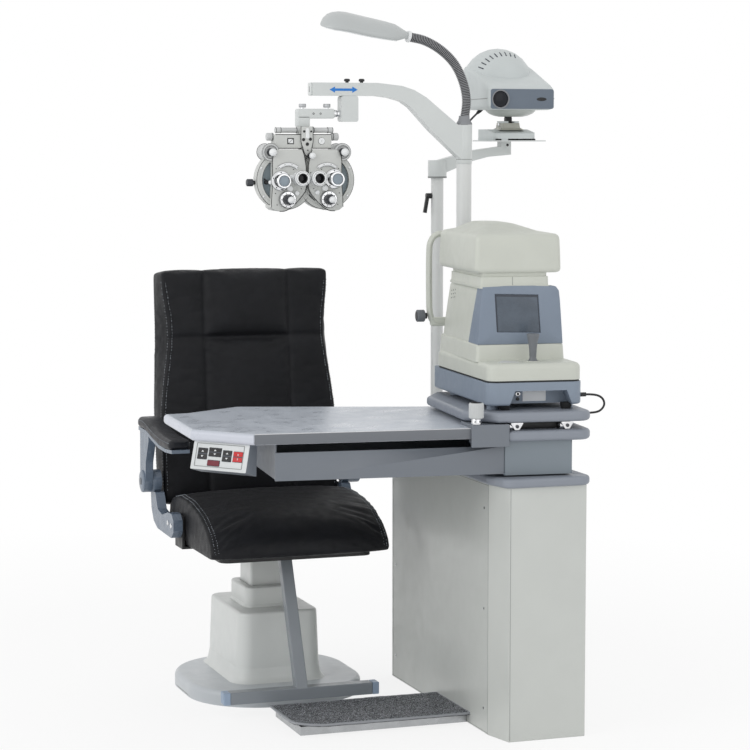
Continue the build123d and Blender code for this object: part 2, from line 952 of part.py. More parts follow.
def upper_platform():
    left = upper_left
    right = platform_right
    outline = [(left + knob_chamfer_x, platform_front), (right, platform_front),
               (right, upper_rear - rear_chamfer_y), (right - rear_chamfer_x, upper_rear),
               (left + rear_chamfer_x, upper_rear), (left, upper_rear - rear_chamfer_y),
               (left, platform_front + knob_chamfer_y)]
    board = slab(outline, (upper_bottom, upper_top))
    front_right = upright_edges(board).sort_by(Axis.Y)[:2].sort_by(Axis.X)[-1]
    board = fillet(front_right, board_corner)
    return on_table(fillet(top_edges(board) + bottom_edges(board), board_edge))


# ================================================================== autorefractor
def refractor_base():
    outline = [(base_left, base_front), (base_right, base_front), (base_right, base_rear),
               (base_left - base_flare, base_rear)]
    body = slab(outline, (base_bottom, base_top))
    body = fillet(upright_edges(body), base_round)
    body = fillet(bottom_edges(body), 6)
    low = base_bottom
    high = base_bottom + recess_height
    recess = front_slab([(recess_left - recess_slope, low - 1), (recess_right + recess_slope, low - 1),
                         (recess_right, high), (recess_left, high)],
                        (base_front - 1, base_front + recess_depth))
    body -= recess
    for x in (base_left + foot_inset_x - 14, base_right - foot_inset_x + 14):
        for y in (base_front + foot_inset_y, base_rear - foot_inset_y - 34):
            body += post(x, y, (upper_top, base_bottom + 4), foot_radius)
    return on_table(body)


def refractor_body():
    outline = [(base_left + 2, deck_front), (base_right - 2, deck_front), (base_right - 2, deck_rear),
               (base_left + 2 - base_flare, deck_rear)]
    deck = fillet(upright_edges(slab(outline, (deck_bottom, deck_top))), base_round)
    low = Pos((body_left + body_right) / 2, (body_front + deck_rear) / 2, deck_top) * RectangleRounded(
        body_right - body_left, deck_rear - body_front, 14)
    high_rear = deck_rear - body_taper_y
    high = Pos((body_left + body_right) / 2, (body_front + high_rear) / 2, body_top) * RectangleRounded(
        body_right - body_left - 2 * body_taper_x, high_rear - body_front, 10)
    body = deck + loft([low, high])
    body += block((neck_left, neck_right), (body_front, neck_rear), (body_top, head_bottom))
    half = slide_post / 2 + running_gap
    body -= block((slide_post_x - half, slide_post_x + half), (slide_post_y - half, slide_post_y + half),
                  (head_bottom - slide_depth - 1, head_bottom))
    body -= Pos(joystick_x, joystick_y, deck_top) * Sphere(joystick_ball + running_gap)
    return on_table(body)


def refractor_head():
    bottom = head_bottom + running_gap
    rear = deck_rear
    top = head_bottom + head_rise
    profile = [(head_front, bottom), (head_front, top), (rear, top), (rear, bottom + head_round),
               (rear - head_round, bottom)]
    head = side_slab(profile, (head_left, head_right))
    head = fillet(head.edges().filter_by(Axis.X), head_round / 2)
    foot = make_face(Polyline(*hump_foot, close=True))
    crown = make_face(Polyline(*hump_crown, close=True))
    head += loft([Pos(0, 0, top - 1) * foot, Pos(0, 0, top + hump_rise) * crown])
    half = slide_post / 2
    head += block((slide_post_x - half, slide_post_x + half), (slide_post_y - half, slide_post_y + half),
                  (head_bottom - slide_depth, bottom + 2))
    return on_table(head)


def joystick():
    ball = Pos(joystick_x, joystick_y, deck_top) * Sphere(joystick_ball)
    lever = Pos(joystick_x, joystick_y, deck_top + joystick_height / 2 + 4) * Cone(
        joystick_foot_radius, joystick_top_radius, joystick_height - 8)
    return on_table(ball + fillet(top_edges(lever), 5))


def chinrest_frame():
    """Forehead and chin rest behind the instrument, on a column from its base."""
    y = (frame_front, frame_front + frame_depth)
    outer_x = (frame_left, frame_right)
    frame = block(outer_x, y, (frame_cross, frame_top))
    frame = fillet(frame.edges().filter_by(Axis.Y), 18)
    inner_x = (frame_left + frame_bar, frame_right - frame_bar)
    frame -= block(inner_x, (y[0] - 1, y[1] + 1), (frame_cross + frame_bar, frame_top - frame_bar))
    frame += block((frame_column_left, frame_column_right), y, (base_top, frame_cross + 2))
    middle = (frame_column_left + frame_column_right) / 2
    cup_z = (frame_cross + frame_bar - chin_cup_height, frame_cross + frame_bar)
    frame += post(middle, y[1] - 6, cup_z, chin_cup_radius) & block(
        (middle - chin_cup_radius, middle + chin_cup_radius), (y[0], y[1] + 24), cup_z)
    return on_table(frame)


def chinrest_knob():
    end = frame_left - running_gap
    middle = frame_front + frame_depth / 2
    knob = cross_bar((end - chin_knob_length, end - 6), middle, chin_knob_z, chin_knob_radius)
    return on_table(knob + cross_bar((end - 6, end), middle, chin_knob_z, chin_knob_radius / 2))


# Route of the instrument's lead from its gland, in the swing table's axes: out sideways and back to the platform
refractor_offsets = [(0, 0, 0), (22, 0, 0), (41, -2, -8), (47, -3, -25), (36, -2, -40), (19, 0, -44), (0, 0, -44)]
refractor_route = [(base_right + gland_length + x, gland_y + y, gland_z + z) for x, y, z in refractor_offsets]


def refractor_gland():
    return on_table(cross_bar((base_right, base_right + gland_length), gland_y, gland_z, gland_radius))


def refractor_cable():
    return on_table(tube("refractor_cable", refractor_route, refractor_cord_radius))


# ================================================================== phoropter arm
def phoropter_arm():
    y = (pole_y - arm_plane_half, pole_y + arm_plane_half)
    foot = pole_top + arm_foot_rise
    outline = [(arm_end_x, arm_under), (arm_straight_x - 4, arm_under)] + arm_bend_under
    outline += [(pole_x - 14, foot), (pole_x, foot), (pole_x, arm_head_top), (pole_x - 22, arm_head_top)]
    outline += arm_bend_top + [(arm_straight_x, arm_top), (arm_end_x, arm_top)]
    arm = front_slab(outline, y)
    arm += post(pole_x, pole_y, (pole_top + running_gap, arm_head_top), arm_head_radius)
    stub_bottom = pole_top - arm_stub_length
    arm += post(pole_x, pole_y, (stub_bottom, pole_top + running_gap), pole_bore - pin_clearance)
    hollow_y = (y[0] + arm_wall, y[1] - arm_wall)
    arm -= block((arm_end_x + 6, arm_straight_x - 6), hollow_y, (arm_under + arm_wall, arm_top - arm_wall))
    arm -= block((slot_left, slot_right), (pole_y - slot_half, pole_y + slot_half),
                 (arm_under - 1, arm_under + arm_wall))
    return arm - post(pole_x, pole_y, (arm_head_top - socket_pin_length - 2, arm_head_top),
                      socket_pin_radius + pin_clearance)


def arm_slider():
    y = (pole_y - arm_plane_half, pole_y + arm_plane_half)
    x = (slider_left, slider_right)
    body = fillet(block(x, y, (slider_bottom, arm_under - running_gap)).edges().filter_by(Axis.Y), 6)
    rest = arm_under + arm_wall + running_gap
    body += block((x[0] + 6, x[1] - 6), (pole_y - slider_neck_half, pole_y + slider_neck_half),
                  (arm_under - running_gap, rest))
    half = arm_plane_half - arm_wall - running_gap
    body += block((x[0] + 2, x[1] - 2), (pole_y - half, pole_y + half), (rest, rest + slider_plate))
    return body - cross_bar((slider_left, slider_left + hanger_pin_depth + 1), pole_y, hanger_z,
                            hanger_pin_radius + pin_clearance)


def phoropter_hanger():
    left = phoropter_x - stem_half
    y = (pole_y - hanger_half, pole_y + hanger_half)
    bar = block((left, slider_left - 16), y, (hanger_z - hanger_half, hanger_z + hanger_half))
    bar += cross_bar((slider_left - 16, slider_left + hanger_pin_depth), pole_y, hanger_z, hanger_pin_radius)
    bar += block((left, phoropter_x + stem_half), y, (stem_bottom, hanger_z))
    bar += post(phoropter_x, pole_y, (stem_bottom - stem_pin_length, stem_bottom), stem_pin_radius)
    for x in (phoropter_x, thumb_right_x):
        bar += post(x, pole_y, (hanger_z + hanger_half, thumb_top - thumb_head), thumb_radius / 2)
        bar += post(x, pole_y, (thumb_top - thumb_head, thumb_top), thumb_radius)
    return bar


# ================================================================== phoropter
def phoropter_bridge():
    x = (phoropter_x - bridge_half, phoropter_x + bridge_half)
    y = (phoropter_y - bridge_depth / 2, phoropter_y + bridge_depth / 2)
    bridge = block(x, y, (bridge_bottom, bridge_top))
    bridge += block((phoropter_x - centre_half, phoropter_x + centre_half), (y[0] - 4, y[1] + 4),
                    (bridge_bottom, stem_bottom - running_gap))
    for side in (-1, 1):
        ends = sorted((phoropter_x + side * bridge_half, phoropter_x + side * (bridge_half + end_knob_length)))
        bridge += cross_bar(ends, phoropter_y, end_knob_z, end_knob_radius)
    return bridge - post(phoropter_x, pole_y, (stem_bottom - stem_pin_length - 1, stem_bottom),
                         stem_pin_radius + pin_clearance)


def phoropter_half(side):
    """One eye's lens housing: drum, face plate, lower lobe, eye tube and upper dial."""
    centre = phoropter_x + side * disc_offset
    front = phoropter_y - disc_depth / 2
    rear = phoropter_y + disc_depth / 2
    body = depth_bar(centre, (front, rear), disc_z, disc_radius)
    body += depth_bar(centre, (phoropter_y - drum_depth / 2, phoropter_y + drum_depth / 2), disc_z, drum_radius)
    lobe_x = phoropter_x + side * dial_offset
    body += depth_bar(lobe_x, (front, rear), dial_z, lobe_radius)
    hanger_x = sorted((phoropter_x + side * (half_gap + 2), phoropter_x + side * (disc_offset + 34)))
    body += block(hanger_x, (phoropter_y - 15, phoropter_y + 15), (disc_z, bridge_bottom - running_gap))
    limit = (phoropter_x + half_gap, phoropter_x + 200) if side > 0 else (phoropter_x - 200, phoropter_x - half_gap)
    body &= block(limit, (front - 1, rear + 1), (dial_z - lobe_radius - 1, bridge_bottom - running_gap))
    eye_x = phoropter_x + side * eye_offset
    body += depth_bar(eye_x, (front - eye_proud, front), eye_z, eye_radius)
    body -= depth_bar(eye_x, (front - eye_proud, front + eye_depth), eye_z, eye_bore)
    dial_x = phoropter_x + side * upper_dial_offset
    body += depth_bar(dial_x, (upper_dial_front, upper_dial_rear), upper_dial_z, upper_dial_radius)
    body += depth_bar(dial_x, (upper_dial_rear, phoropter_y), upper_dial_z - 12, 10)
    return body - depth_bar(lobe_x, (front, front + dial_shaft_length + 1), dial_z,
                            dial_shaft_radius + pin_clearance)


def phoropter_dial(side):
    x = phoropter_x + side * dial_offset
    face = phoropter_y - disc_depth / 2 - running_gap
    dial = depth_bar(x, (face - dial_depth, face), dial_z, dial_radius)
    dial += depth_bar(x, (face, face + running_gap + dial_shaft_length), dial_z, dial_shaft_radius)
    return dial + depth_bar(x, (face - dial_depth - dial_knob_length, face - dial_depth), dial_z, dial_knob_radius)


# ================================================================== examination lamp
def lamp_gooseneck():
    base = arm_head_top + running_gap
    socket = Pos(pole_x, pole_y, base + socket_height / 2) * Cone(
        socket_bottom_radius, socket_top_radius, socket_height)
    socket += post(pole_x, pole_y, (arm_head_top - socket_pin_length, base), socket_pin_radius)
    route = [(x, pole_y, z) for x, z in gooseneck_route]
    return socket + tube("lamp_gooseneck", route, gooseneck_radius)


def lamp_axis():
    """Axes at the gooseneck's tip, with X along the lamp head, away from the gooseneck."""
    tip = gooseneck_route[-1]
    before = gooseneck_route[-2]
    climb = degrees(atan2(tip[1] - before[1], before[0] - tip[0]))
    reach = running_gap / hypot(1, tan(radians(climb)))
    return Pos(tip[0] - reach, pole_y, tip[1] + reach * tan(radians(climb))) * Rot(0, climb, 0) * Rot(0, 0, 180)


def lamp_head():
    sections = []
    for along, thick, broad in lamp_sections:
        plane = Plane(origin=(along, 0, 0), x_dir=(0, 1, 0), z_dir=(1, 0, 0))
        sections.append(plane * Ellipse(broad, thick))
    return lamp_axis() * Rot(lamp_roll, 0, 0) * loft(sections)


# ================================================================== chart projector
def projector_beam():
    y = (post_y - beam_half, post_y + beam_half)
    outline = [(post_x, clamp_bottom + 6), (post_x, clamp_top)] + beam_over
    outline += [(beam_socket_x, tray_bottom), (beam_end_x, tray_bottom)] + beam_below
    beam = front_slab(outline, y)
    beam += post(post_x, post_y, (clamp_bottom, clamp_top), clamp_radius)
    beam += block((tray_x - tray_half_x, tray_x + tray_half_x), (tray_y - tray_half_y, tray_y + tray_half_y),
                  (tray_bottom, projector_floor))
    beam -= post(post_x, post_y, (clamp_bottom, clamp_top - 8 + running_gap), post_radius + pin_clearance)
    grommet = projector_route[-1]
    return beam + post(grommet[0], grommet[1], (clamp_top, grommet[2]), beam_grommet_radius)


# Route of the projector's lead: out of the housing's underside and down to the beam
projector_route = [(547, -105, 1469), (537, -105, 1460), (526, -103, 1448), (515, -98, 1432), (507, -90, 1412),
                   (505, -84, 1392), (505, -84, 1372)]


def projector_cable():
    return tube("projector_cable", projector_route, projector_cord_radius)


def projector_base():
    x = (projector_x - projector_base_half_x - 3, projector_x + projector_base_half_x - 3)
    y = (tray_y - projector_base_half_y, tray_y + projector_base_half_y)
    low = projector_floor + projector_base_front
    wedge = [(y[0], projector_floor), (y[1], projector_floor), (y[1], projector_base_top),
             (tilt_y, projector_base_top), (y[0], low)]
    base = side_slab(wedge, x)
    base = fillet(upright_edges(base), 12)
    pedestal = block((projector_x - pedestal_half, projector_x + pedestal_half),
                     (tilt_y - pedestal_half, tilt_y + pedestal_half), (projector_base_top - 1, pedestal_top))
    base += fillet(upright_edges(pedestal), 6)
    slot = tilt_lug_half + running_gap
    depth = tilt_z - tilt_lug_radius - 1
    base -= block((projector_x - slot, projector_x + slot), (tilt_y - pedestal_half - 1, tilt_y + pedestal_half + 1),
                  (depth, pedestal_top + 1))
    reach = pedestal_half - 4
    base += cross_bar((projector_x - reach, projector_x + reach), tilt_y, tilt_z, tilt_pin_radius)
    return base


def projector_body():
    x = (housing_x - projector_half, housing_x + projector_half)
    front = projector_front
    rear = projector_rear
    profile = [(front, projector_under + 3), (front, panel_top), (front + 14, panel_top + 8),
               (rear - 44, projector_top), (rear - 16, projector_top), (rear, projector_top - 20),
               (rear, projector_under + 30), (rear - 30, projector_under), (front + 20, projector_under)]
    body = side_slab(profile, x)
    dome = Pos(dome_x, dome_y, dome_z) * Sphere(dome_radius)
    body += dome & block(x, (front, dome_rear), (projector_under + 10, dome_z + dome_radius))
    start = Vector(*projector_route[0])
    aim = Vector(*projector_route[1]) - start
    root = start - aim.normalized() * (cord_sleeve_length + cord_sleeve_gap)
    body += Plane(origin=root, z_dir=aim) * Cylinder(
        projector_cord_radius + 1.5, cord_sleeve_length, align=(Align.CENTER, Align.CENTER, Align.MIN))
    bowl_height = projector_under - bowl_bottom
    body += Pos(projector_x, tilt_y, bowl_bottom + bowl_height / 2) * Cone(
        bowl_bottom_radius, bowl_top_radius, bowl_height)
    lug = block((projector_x - tilt_lug_half, projector_x + tilt_lug_half),
                (tilt_y - tilt_lug_radius, tilt_y + tilt_lug_radius), (tilt_z, bowl_bottom + 1))
    lug += cross_bar((projector_x - tilt_lug_half, projector_x + tilt_lug_half), tilt_y, tilt_z, tilt_lug_radius)
    body += lug
    return body - cross_bar((projector_x - tilt_lug_half, projector_x + tilt_lug_half), tilt_y, tilt_z,
                            tilt_pin_radius + pin_clearance)


def clamp_lever():
    inner = post_x - post_radius - running_gap
    outer = inner - lever_hub_length
    lever = cross_bar((outer, inner), post_y, lever_z, lever_hub_radius)
    lever += cross_bar((inner, post_x - post_bore + 2), post_y, lever_z, lever_screw_radius)
    half = lever_thickness / 2
    arm = block((-half, half), (-half, half), (-lever_reach, 0))
    return lever + Pos(outer + half, post_y, lever_z) * Rot(0, lever_lean, 0) * arm


# ================================================================== all sub-parts
def all_parts():
    parts = {
        "chair_base_plate": chair_base_plate(),
        "chair_base_cover": chair_base_cover(),
        "lift_actuator": lift_actuator(),
        "lift_column": lift_column(),
        "seat_frame": seat_frame(),
        "seat_cushion": seat_cushion(),
        "footrest_frame": footrest_frame(),
        "footrest_caps": footrest_caps(),
        "back_spar": back_spar(),
        "backrest_cushion": backrest_cushion(),
        "cabinet_body": cabinet_body(),
        "cabinet_screws": cabinet_screws(),
        "cabinet_top_plate": cabinet_top_plate(),
        "foot_tray": foot_tray(),
        "foot_mat": foot_mat(),
        "main_pole": main_pole(),
        "projector_post": projector_post(),
        "swing_box": swing_box(),
        "lower_platform": lower_platform(),
        "tabletop": tabletop(),
        "table_bracket": table_bracket(),
        "table_lock_knob": table_lock_knob(),
        "drawer_housing": drawer_housing(),
        "drawer_tray": drawer_tray(),
        "control_box": control_box(),
        "platform_rollers": platform_rollers(),
        "upper_platform": upper_platform(),
        "refractor_base": refractor_base(),
        "refractor_body": refractor_body(),
        "refractor_head": refractor_head(),
        "joystick": joystick(),
        "chinrest_frame": chinrest_frame(),
        "chinrest_knob": chinrest_knob(),
        "refractor_gland": refractor_gland(),
        "refractor_cable": refractor_cable(),
        "phoropter_arm": phoropter_arm(),
        "arm_slider": arm_slider(),
        "phoropter_hanger": phoropter_hanger(),
        "phoropter_bridge": phoropter_bridge(),
        "lamp_gooseneck": lamp_gooseneck(),
        "lamp_head": lamp_head(),
        "projector_beam": projector_beam(),
        "projector_base": projector_base(),
        "projector_body": projector_body(),
        "projector_cable": projector_cable(),
        "clamp_lever": clamp_lever(),
    }
    for name in switches:
        parts[name] = rocker(name)
    # The patient faces -Y, so the patient's right is at -X
    for word, side in (("right", -1), ("left", 1)):
        parts["armrest_base_" + word] = armrest_base(side)
        parts["armrest_" + word] = armrest(side)
        parts["armrest_pad_" + word] = armrest_pad(side)
        parts["phoropter_" + word] = phoropter_half(side)
        parts["phoropter_dial_" + word] = phoropter_dial(side)
    return parts


def export():
    os.makedirs("parts", exist_ok=True)
    for name, shape in all_parts().items():
        export_step(shape, os.path.join("parts", name + ".step"))


export()
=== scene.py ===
"""Looks of the ophthalmic examination chair and its instrument stand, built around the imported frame.

Lengths in this file are millimetres in the frame's axes, unless a name says otherwise; Shape.make
turns them into metres. The swing table's pieces are drawn in the table's own axes.
"""
import json
import math
import random

import bmesh
import bpy
from mathutils import Matrix, Vector, noise
from mathutils.bvhtree import BVHTree


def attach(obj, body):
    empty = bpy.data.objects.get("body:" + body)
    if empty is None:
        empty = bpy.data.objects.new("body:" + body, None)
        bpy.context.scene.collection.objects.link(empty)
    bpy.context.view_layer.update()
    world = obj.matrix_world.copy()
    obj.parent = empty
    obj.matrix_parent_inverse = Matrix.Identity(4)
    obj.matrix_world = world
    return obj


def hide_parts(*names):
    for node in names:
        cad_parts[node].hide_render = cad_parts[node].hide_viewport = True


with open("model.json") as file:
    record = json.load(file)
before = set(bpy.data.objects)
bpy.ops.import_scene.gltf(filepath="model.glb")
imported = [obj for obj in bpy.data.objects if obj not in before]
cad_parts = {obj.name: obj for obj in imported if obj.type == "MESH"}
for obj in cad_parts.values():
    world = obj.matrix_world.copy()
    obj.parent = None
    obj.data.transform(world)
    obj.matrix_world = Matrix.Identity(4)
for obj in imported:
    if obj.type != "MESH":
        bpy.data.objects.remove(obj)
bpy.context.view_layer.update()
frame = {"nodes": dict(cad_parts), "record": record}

SCENE = bpy.context.scene
NODES = frame["nodes"]
JOINTS = {joint["name"]: joint for joint in frame["record"]["behaviour"]["joints"]}
M = 0.001
STILL = Matrix.Identity(4)
TO_FRONT = Matrix.Rotation(math.radians(90), 4, "X")      # a lathe's +Z turns to -Y, towards the viewer
TO_SIDE = Matrix.Rotation(math.radians(90), 4, "Y")       # a lathe's +Z turns to +X
TABLE_ANGLE = -6
LENS = 117.08
EYE = (-1.767748, -5.968114, 1.418005)                    # metres
GAZE = (84.34, 0, -19.1595)                               # degrees
GLOW_FADE = (("From Min", 1.1), ("From Max", 2.6), ("To Min", 0.82), ("To Max", 1.0))
ARM_Y = -219                                              # middle of the phoropter arm, the hanger and the lamp
POLE_X = 467                                              # the main pole, on which the arm and the lamp turn
random.seed(7)


def at(x, y, z):
    return Matrix.Translation((x, y, z))


def spun(degrees, axis):
    return Matrix.Rotation(math.radians(degrees), 4, axis)


SPINDLE = [value / M for value in JOINTS["table_swing"]["pos_m"]]
TABLE = at(SPINDLE[0], SPINDLE[1], 0) @ spun(TABLE_ANGLE, "Z")


def facing(x, z):
    """Axes at a place of the front view, whose +Z comes towards the viewer."""
    return at(x, 0, z) @ TO_FRONT


def box_in(node, axes=STILL):
    """Lowest and highest corner of a CAD node along the given axes, in millimetres."""
    inverse = axes.inverted()
    points = [inverse @ (vertex.co / M) for vertex in NODES[node].data.vertices]
    low = Vector([min(point[i] for point in points) for i in range(3)])
    high = Vector([max(point[i] for point in points) for i in range(3)])
    return low, high


# ------------------------------------------------------------------ camera, light and stage
def camera():
    data = bpy.data.cameras.new("view")
    data.sensor_width = 36
    data.lens = LENS
    eye = bpy.data.objects.new("view", data)
    SCENE.collection.objects.link(eye)
    eye.location = EYE
    eye.rotation_euler = [math.radians(turn) for turn in GAZE]
    SCENE.camera = eye
    SCENE.view_settings.view_transform = "Standard"


def seen_directly(tree):
    """1 where the camera, a gloss or a clear surface looks straight at something."""
    path = tree.nodes.new("ShaderNodeLightPath")
    largest = path.outputs["Is Camera Ray"]
    for name in ("Is Glossy Ray", "Is Transmission Ray"):
        either = tree.nodes.new("ShaderNodeMath")
        either.operation = "MAXIMUM"
        tree.links.new(largest, either.inputs[0])
        tree.links.new(path.outputs[name], either.inputs[1])
        largest = either.outputs[0]
    return largest


def glow_where(tree, share, lit, glow, end):
    """Mix a lit shader with a glowing one by a share, into the output's surface."""
    mix = tree.nodes.new("ShaderNodeMixShader")
    for source, target in ((share, mix.inputs[0]), (lit, mix.inputs[1]), (glow, mix.inputs[2]),
                           (mix.outputs[0], tree.nodes[end].inputs["Surface"])):
        tree.links.new(source, target)


def sky(strength):
    world = bpy.data.worlds.new("room")
    SCENE.world = world
    world.use_nodes = True
    tree = world.node_tree
    light = tree.nodes["Background"]
    light.inputs["Color"].default_value = (1, 1, 1, 1)
    light.inputs["Strength"].default_value = strength
    white = tree.nodes.new("ShaderNodeBackground")
    white.inputs["Color"].default_value = (1, 1, 1, 1)
    glow_where(tree, seen_directly(tree), light.outputs[0], white.outputs[0], "World Output")


def soft_lamp(name, place, aim, size, watts):
    data = bpy.data.lights.new(name, "AREA")
    data.size = size
    data.energy = watts
    lamp = bpy.data.objects.new(name, data)
    SCENE.collection.objects.link(lamp)
    lamp.location = place
    lamp.rotation_euler = (Vector(aim) - Vector(place)).to_track_quat("-Z", "Y").to_euler()


def floor():
    """Pale studio floor that keeps the object's shadow and fades to white away from it."""
    half = 9.0
    mesh = bpy.data.meshes.new("studio_floor")
    mesh.from_pydata([(-half, -half, 0), (half, -half, 0), (half, half, 0), (-half, half, 0)], [], [(0, 1, 2, 3)])
    ground = bpy.data.objects.new("studio_floor", mesh)
    SCENE.collection.objects.link(ground)
    mat = bpy.data.materials.new("studio_floor")
    mat.use_nodes = True
    tree = mat.node_tree
    shader = tree.nodes["Principled BSDF"]
    shader.inputs["Base Color"].default_value = (0.93, 0.93, 0.93, 1)
    shader.inputs["Roughness"].default_value = 0.9
    glow = tree.nodes.new("ShaderNodeEmission")
    reach = tree.nodes.new("ShaderNodeVectorMath")
    reach.operation = "LENGTH"
    tree.links.new(tree.nodes.new("ShaderNodeTexCoord").outputs["Object"], reach.inputs[0])
    fade = tree.nodes.new("ShaderNodeMapRange")
    for socket, number in GLOW_FADE:
        fade.inputs[socket].default_value = number
    tree.links.new(reach.outputs["Value"], fade.inputs["Value"])
    share = tree.nodes.new("ShaderNodeMath")
    share.operation = "MULTIPLY"
    tree.links.new(fade.outputs[0], share.inputs[1])
    tree.links.new(seen_directly(tree), share.inputs[0])
    glow_where(tree, share.outputs[0], shader.outputs[0], glow.outputs[0], "Material Output")
    mesh.materials.append(mat)


# ------------------------------------------------------------------ materials
def linear(rgb):
    values = [value / 255 for value in rgb]
    return [value / 12.92 if value <= 0.04045 else ((value + 0.055) / 1.055) ** 2.4 for value in values]


class Finish:
    """A Principled material whose colour, roughness and relief follow the object's own coordinates."""

    def __init__(self, name, rgb, rough, metal=0.0, mottle=0.05, blotch=90.0):
        self.mat = bpy.data.materials.new(name)
        self.mat.use_nodes = True
        self.tree = self.mat.node_tree
        self.shader = self.tree.nodes["Principled BSDF"]
        self.coords = self.tree.nodes.new("ShaderNodeTexCoord").outputs["Object"]
        self.height = None
        base = linear(rgb)
        self.shader.inputs["Metallic"].default_value = metal
        dark = [value * (1 - mottle) for value in base]
        light = [min(1.0, value * (1 + mottle)) for value in base]
        self.color = self.mix(self.spread(self.noise(blotch, 3), 0.35, 0.65), dark, light)
        self.rough = self.spread(self.noise(blotch * 0.3, 4), 0.35, 0.65, max(0.03, rough - 0.07),
                                 min(1.0, rough + 0.07))

    def node(self, kind):
        return self.tree.nodes.new("ShaderNode" + kind)

    def link(self, source, target):
        self.tree.links.new(source, target)

    def scaled(self, scale):
        """Object coordinates stretched along each axis."""
        mapping = self.node("Mapping")
        mapping.inputs["Scale"].default_value = scale
        self.link(self.coords, mapping.inputs["Vector"])
        return mapping.outputs[0]

    def noise(self, size, detail=2, coords=None):
        texture = self.node("TexNoise")
        texture.inputs["Scale"].default_value = 1 / (size * M)
        texture.inputs["Detail"].default_value = detail
        self.link(coords or self.coords, texture.inputs["Vector"])
        return texture.outputs[0]

    def cells(self, size, feature="F1", output="Distance", coords=None):
        texture = self.node("TexVoronoi")
        texture.feature = feature
        texture.inputs["Scale"].default_value = 1 / (size * M)
        self.link(coords or self.coords, texture.inputs["Vector"])
        return texture.outputs[output]

    def spread(self, value, low, high, out_low=0.0, out_high=1.0):
        remap = self.node("MapRange")
        self.link(value, remap.inputs["Value"])
        for socket, number in (("From Min", low), ("From Max", high), ("To Min", out_low), ("To Max", out_high)):
            remap.inputs[socket].default_value = number
        return remap.outputs[0]

    def mix(self, share, first, second):
        blend = self.node("Mix")
        blend.data_type = "RGBA"
        self.link(share, blend.inputs[0])
        for socket, value in ((blend.inputs[6], first), (blend.inputs[7], second)):
            if isinstance(value, (list, tuple)):
                socket.default_value = (*value, 1)
            else:
                self.link(value, socket)
        return blend.outputs[2]

    def flecks(self, rgb, size, share):
        """Small chips of another colour, in part of the cells of a fine pattern."""
        pick = self.node("SeparateColor")
        self.link(self.cells(size, output="Color"), pick.inputs[0])
        chosen = self.spread(pick.outputs[0], share, share + 0.02, 1, 0)
        self.color = self.mix(chosen, self.color, linear(rgb))
        return self

    def relief(self, value, depth):
        """Bump of the given depth in millimetres, stacked on what is there."""
        bump = self.node("Bump")
        bump.inputs["Distance"].default_value = depth * M
        self.link(value, bump.inputs["Height"])
        if self.height:
            self.link(self.height, bump.inputs["Normal"])
        self.height = bump.outputs[0]
        return self

    def grain(self, size, depth):
        return self.relief(self.noise(size, 3), depth)

    def set(self, **values):
        for name, value in values.items():
            self.shader.inputs[name.replace("_", " ")].default_value = value
        return self

    def done(self):
        self.link(self.color, self.shader.inputs["Base Color"])
        self.link(self.rough, self.shader.inputs["Roughness"])
        if self.height:
            self.link(self.height, self.shader.inputs["Normal"])
        return self.mat


def paint(name, rgb, rough=0.36, peel=2.2):
    """Sprayed enamel with a faint orange peel."""
    return Finish(name, rgb, rough, mottle=0.012).grain(peel, 0.05).grain(0.5, 0.015).set(
        Coat_Weight=0.15, Coat_Roughness=0.2).done()


def plastic(name, rgb, rough=0.45, texture=0.7):
    """Moulded plastic with a spark-eroded texture."""
    return Finish(name, rgb, rough, mottle=0.018, blotch=60).grain(texture, 0.06).grain(0.25, 0.02).done()


def steel(name, rgb, rough, stretch=(1, 1, 1)):
    """Metal with fine lines that run where the stretch is small."""
    metal = Finish(name, rgb, rough, metal=1.0, mottle=0.06, blotch=30)
    lines = metal.noise(0.4, 2, metal.scaled(stretch))
    return metal.relief(lines, 0.012).done()


def leather(name, rgb, rough):
    """Pebbled leather with shallow creases."""
    hide = Finish(name, rgb, rough, mottle=0.14, blotch=70)
    hide.relief(hide.spread(hide.cells(1.7, "DISTANCE_TO_EDGE"), 0.0, 0.12), 0.08)
    hide.relief(hide.noise(11, 3), 0.2)
    return hide.set(Specular_IOR_Level=0.24, Sheen_Weight=0.05, Sheen_Roughness=0.4).done()


def laminate(name, rgb):
    """Finely speckled board whose rounded rim is painted paler, a painted highlight where the surface turns away from
    up.
    """
    top = Finish(name, rgb, 0.33, mottle=0.025, blotch=140)
    top.flecks((182, 189, 200), 1.0, 0.25).flecks((200, 206, 215), 0.8, 0.16).flecks((168, 176, 188), 0.6, 0.06)
    highlight_tilt = top.node("SeparateXYZ")
    top.link(top.node("NewGeometry").outputs["Normal"], highlight_tilt.inputs[0])
    # painted highlight: faces turned away from up take the paler colour (203, 207, 217)
    top.color = top.mix(top.spread(highlight_tilt.outputs[2], 0.55, 0.9, 1, 0), top.color, linear((203, 207, 217)))
    return top.grain(0.8, 0.02).done()


def mat_rubber(name, rgb):
    rubber = Finish(name, rgb, 0.8, mottle=0.12, blotch=25)
    rubber.flecks((176, 178, 182), 2.1, 0.3).flecks((34, 36, 40), 1.9, 0.3)
    return rubber.relief(rubber.cells(2.6), 0.9).grain(0.7, 0.3).done()


def ribbed(name, rgb):
    hose = Finish(name, rgb, 0.42, metal=0.55, mottle=0.08, blotch=18)
    return hose.grain(0.6, 0.04).done()


def glass(name, rgb, rough, coat):
    return Finish(name, rgb, rough, mottle=0.1, blotch=40).grain(0.9, 0.004).set(
        Coat_Weight=coat, Coat_Roughness=0.03, Specular_IOR_Level=0.3).done()


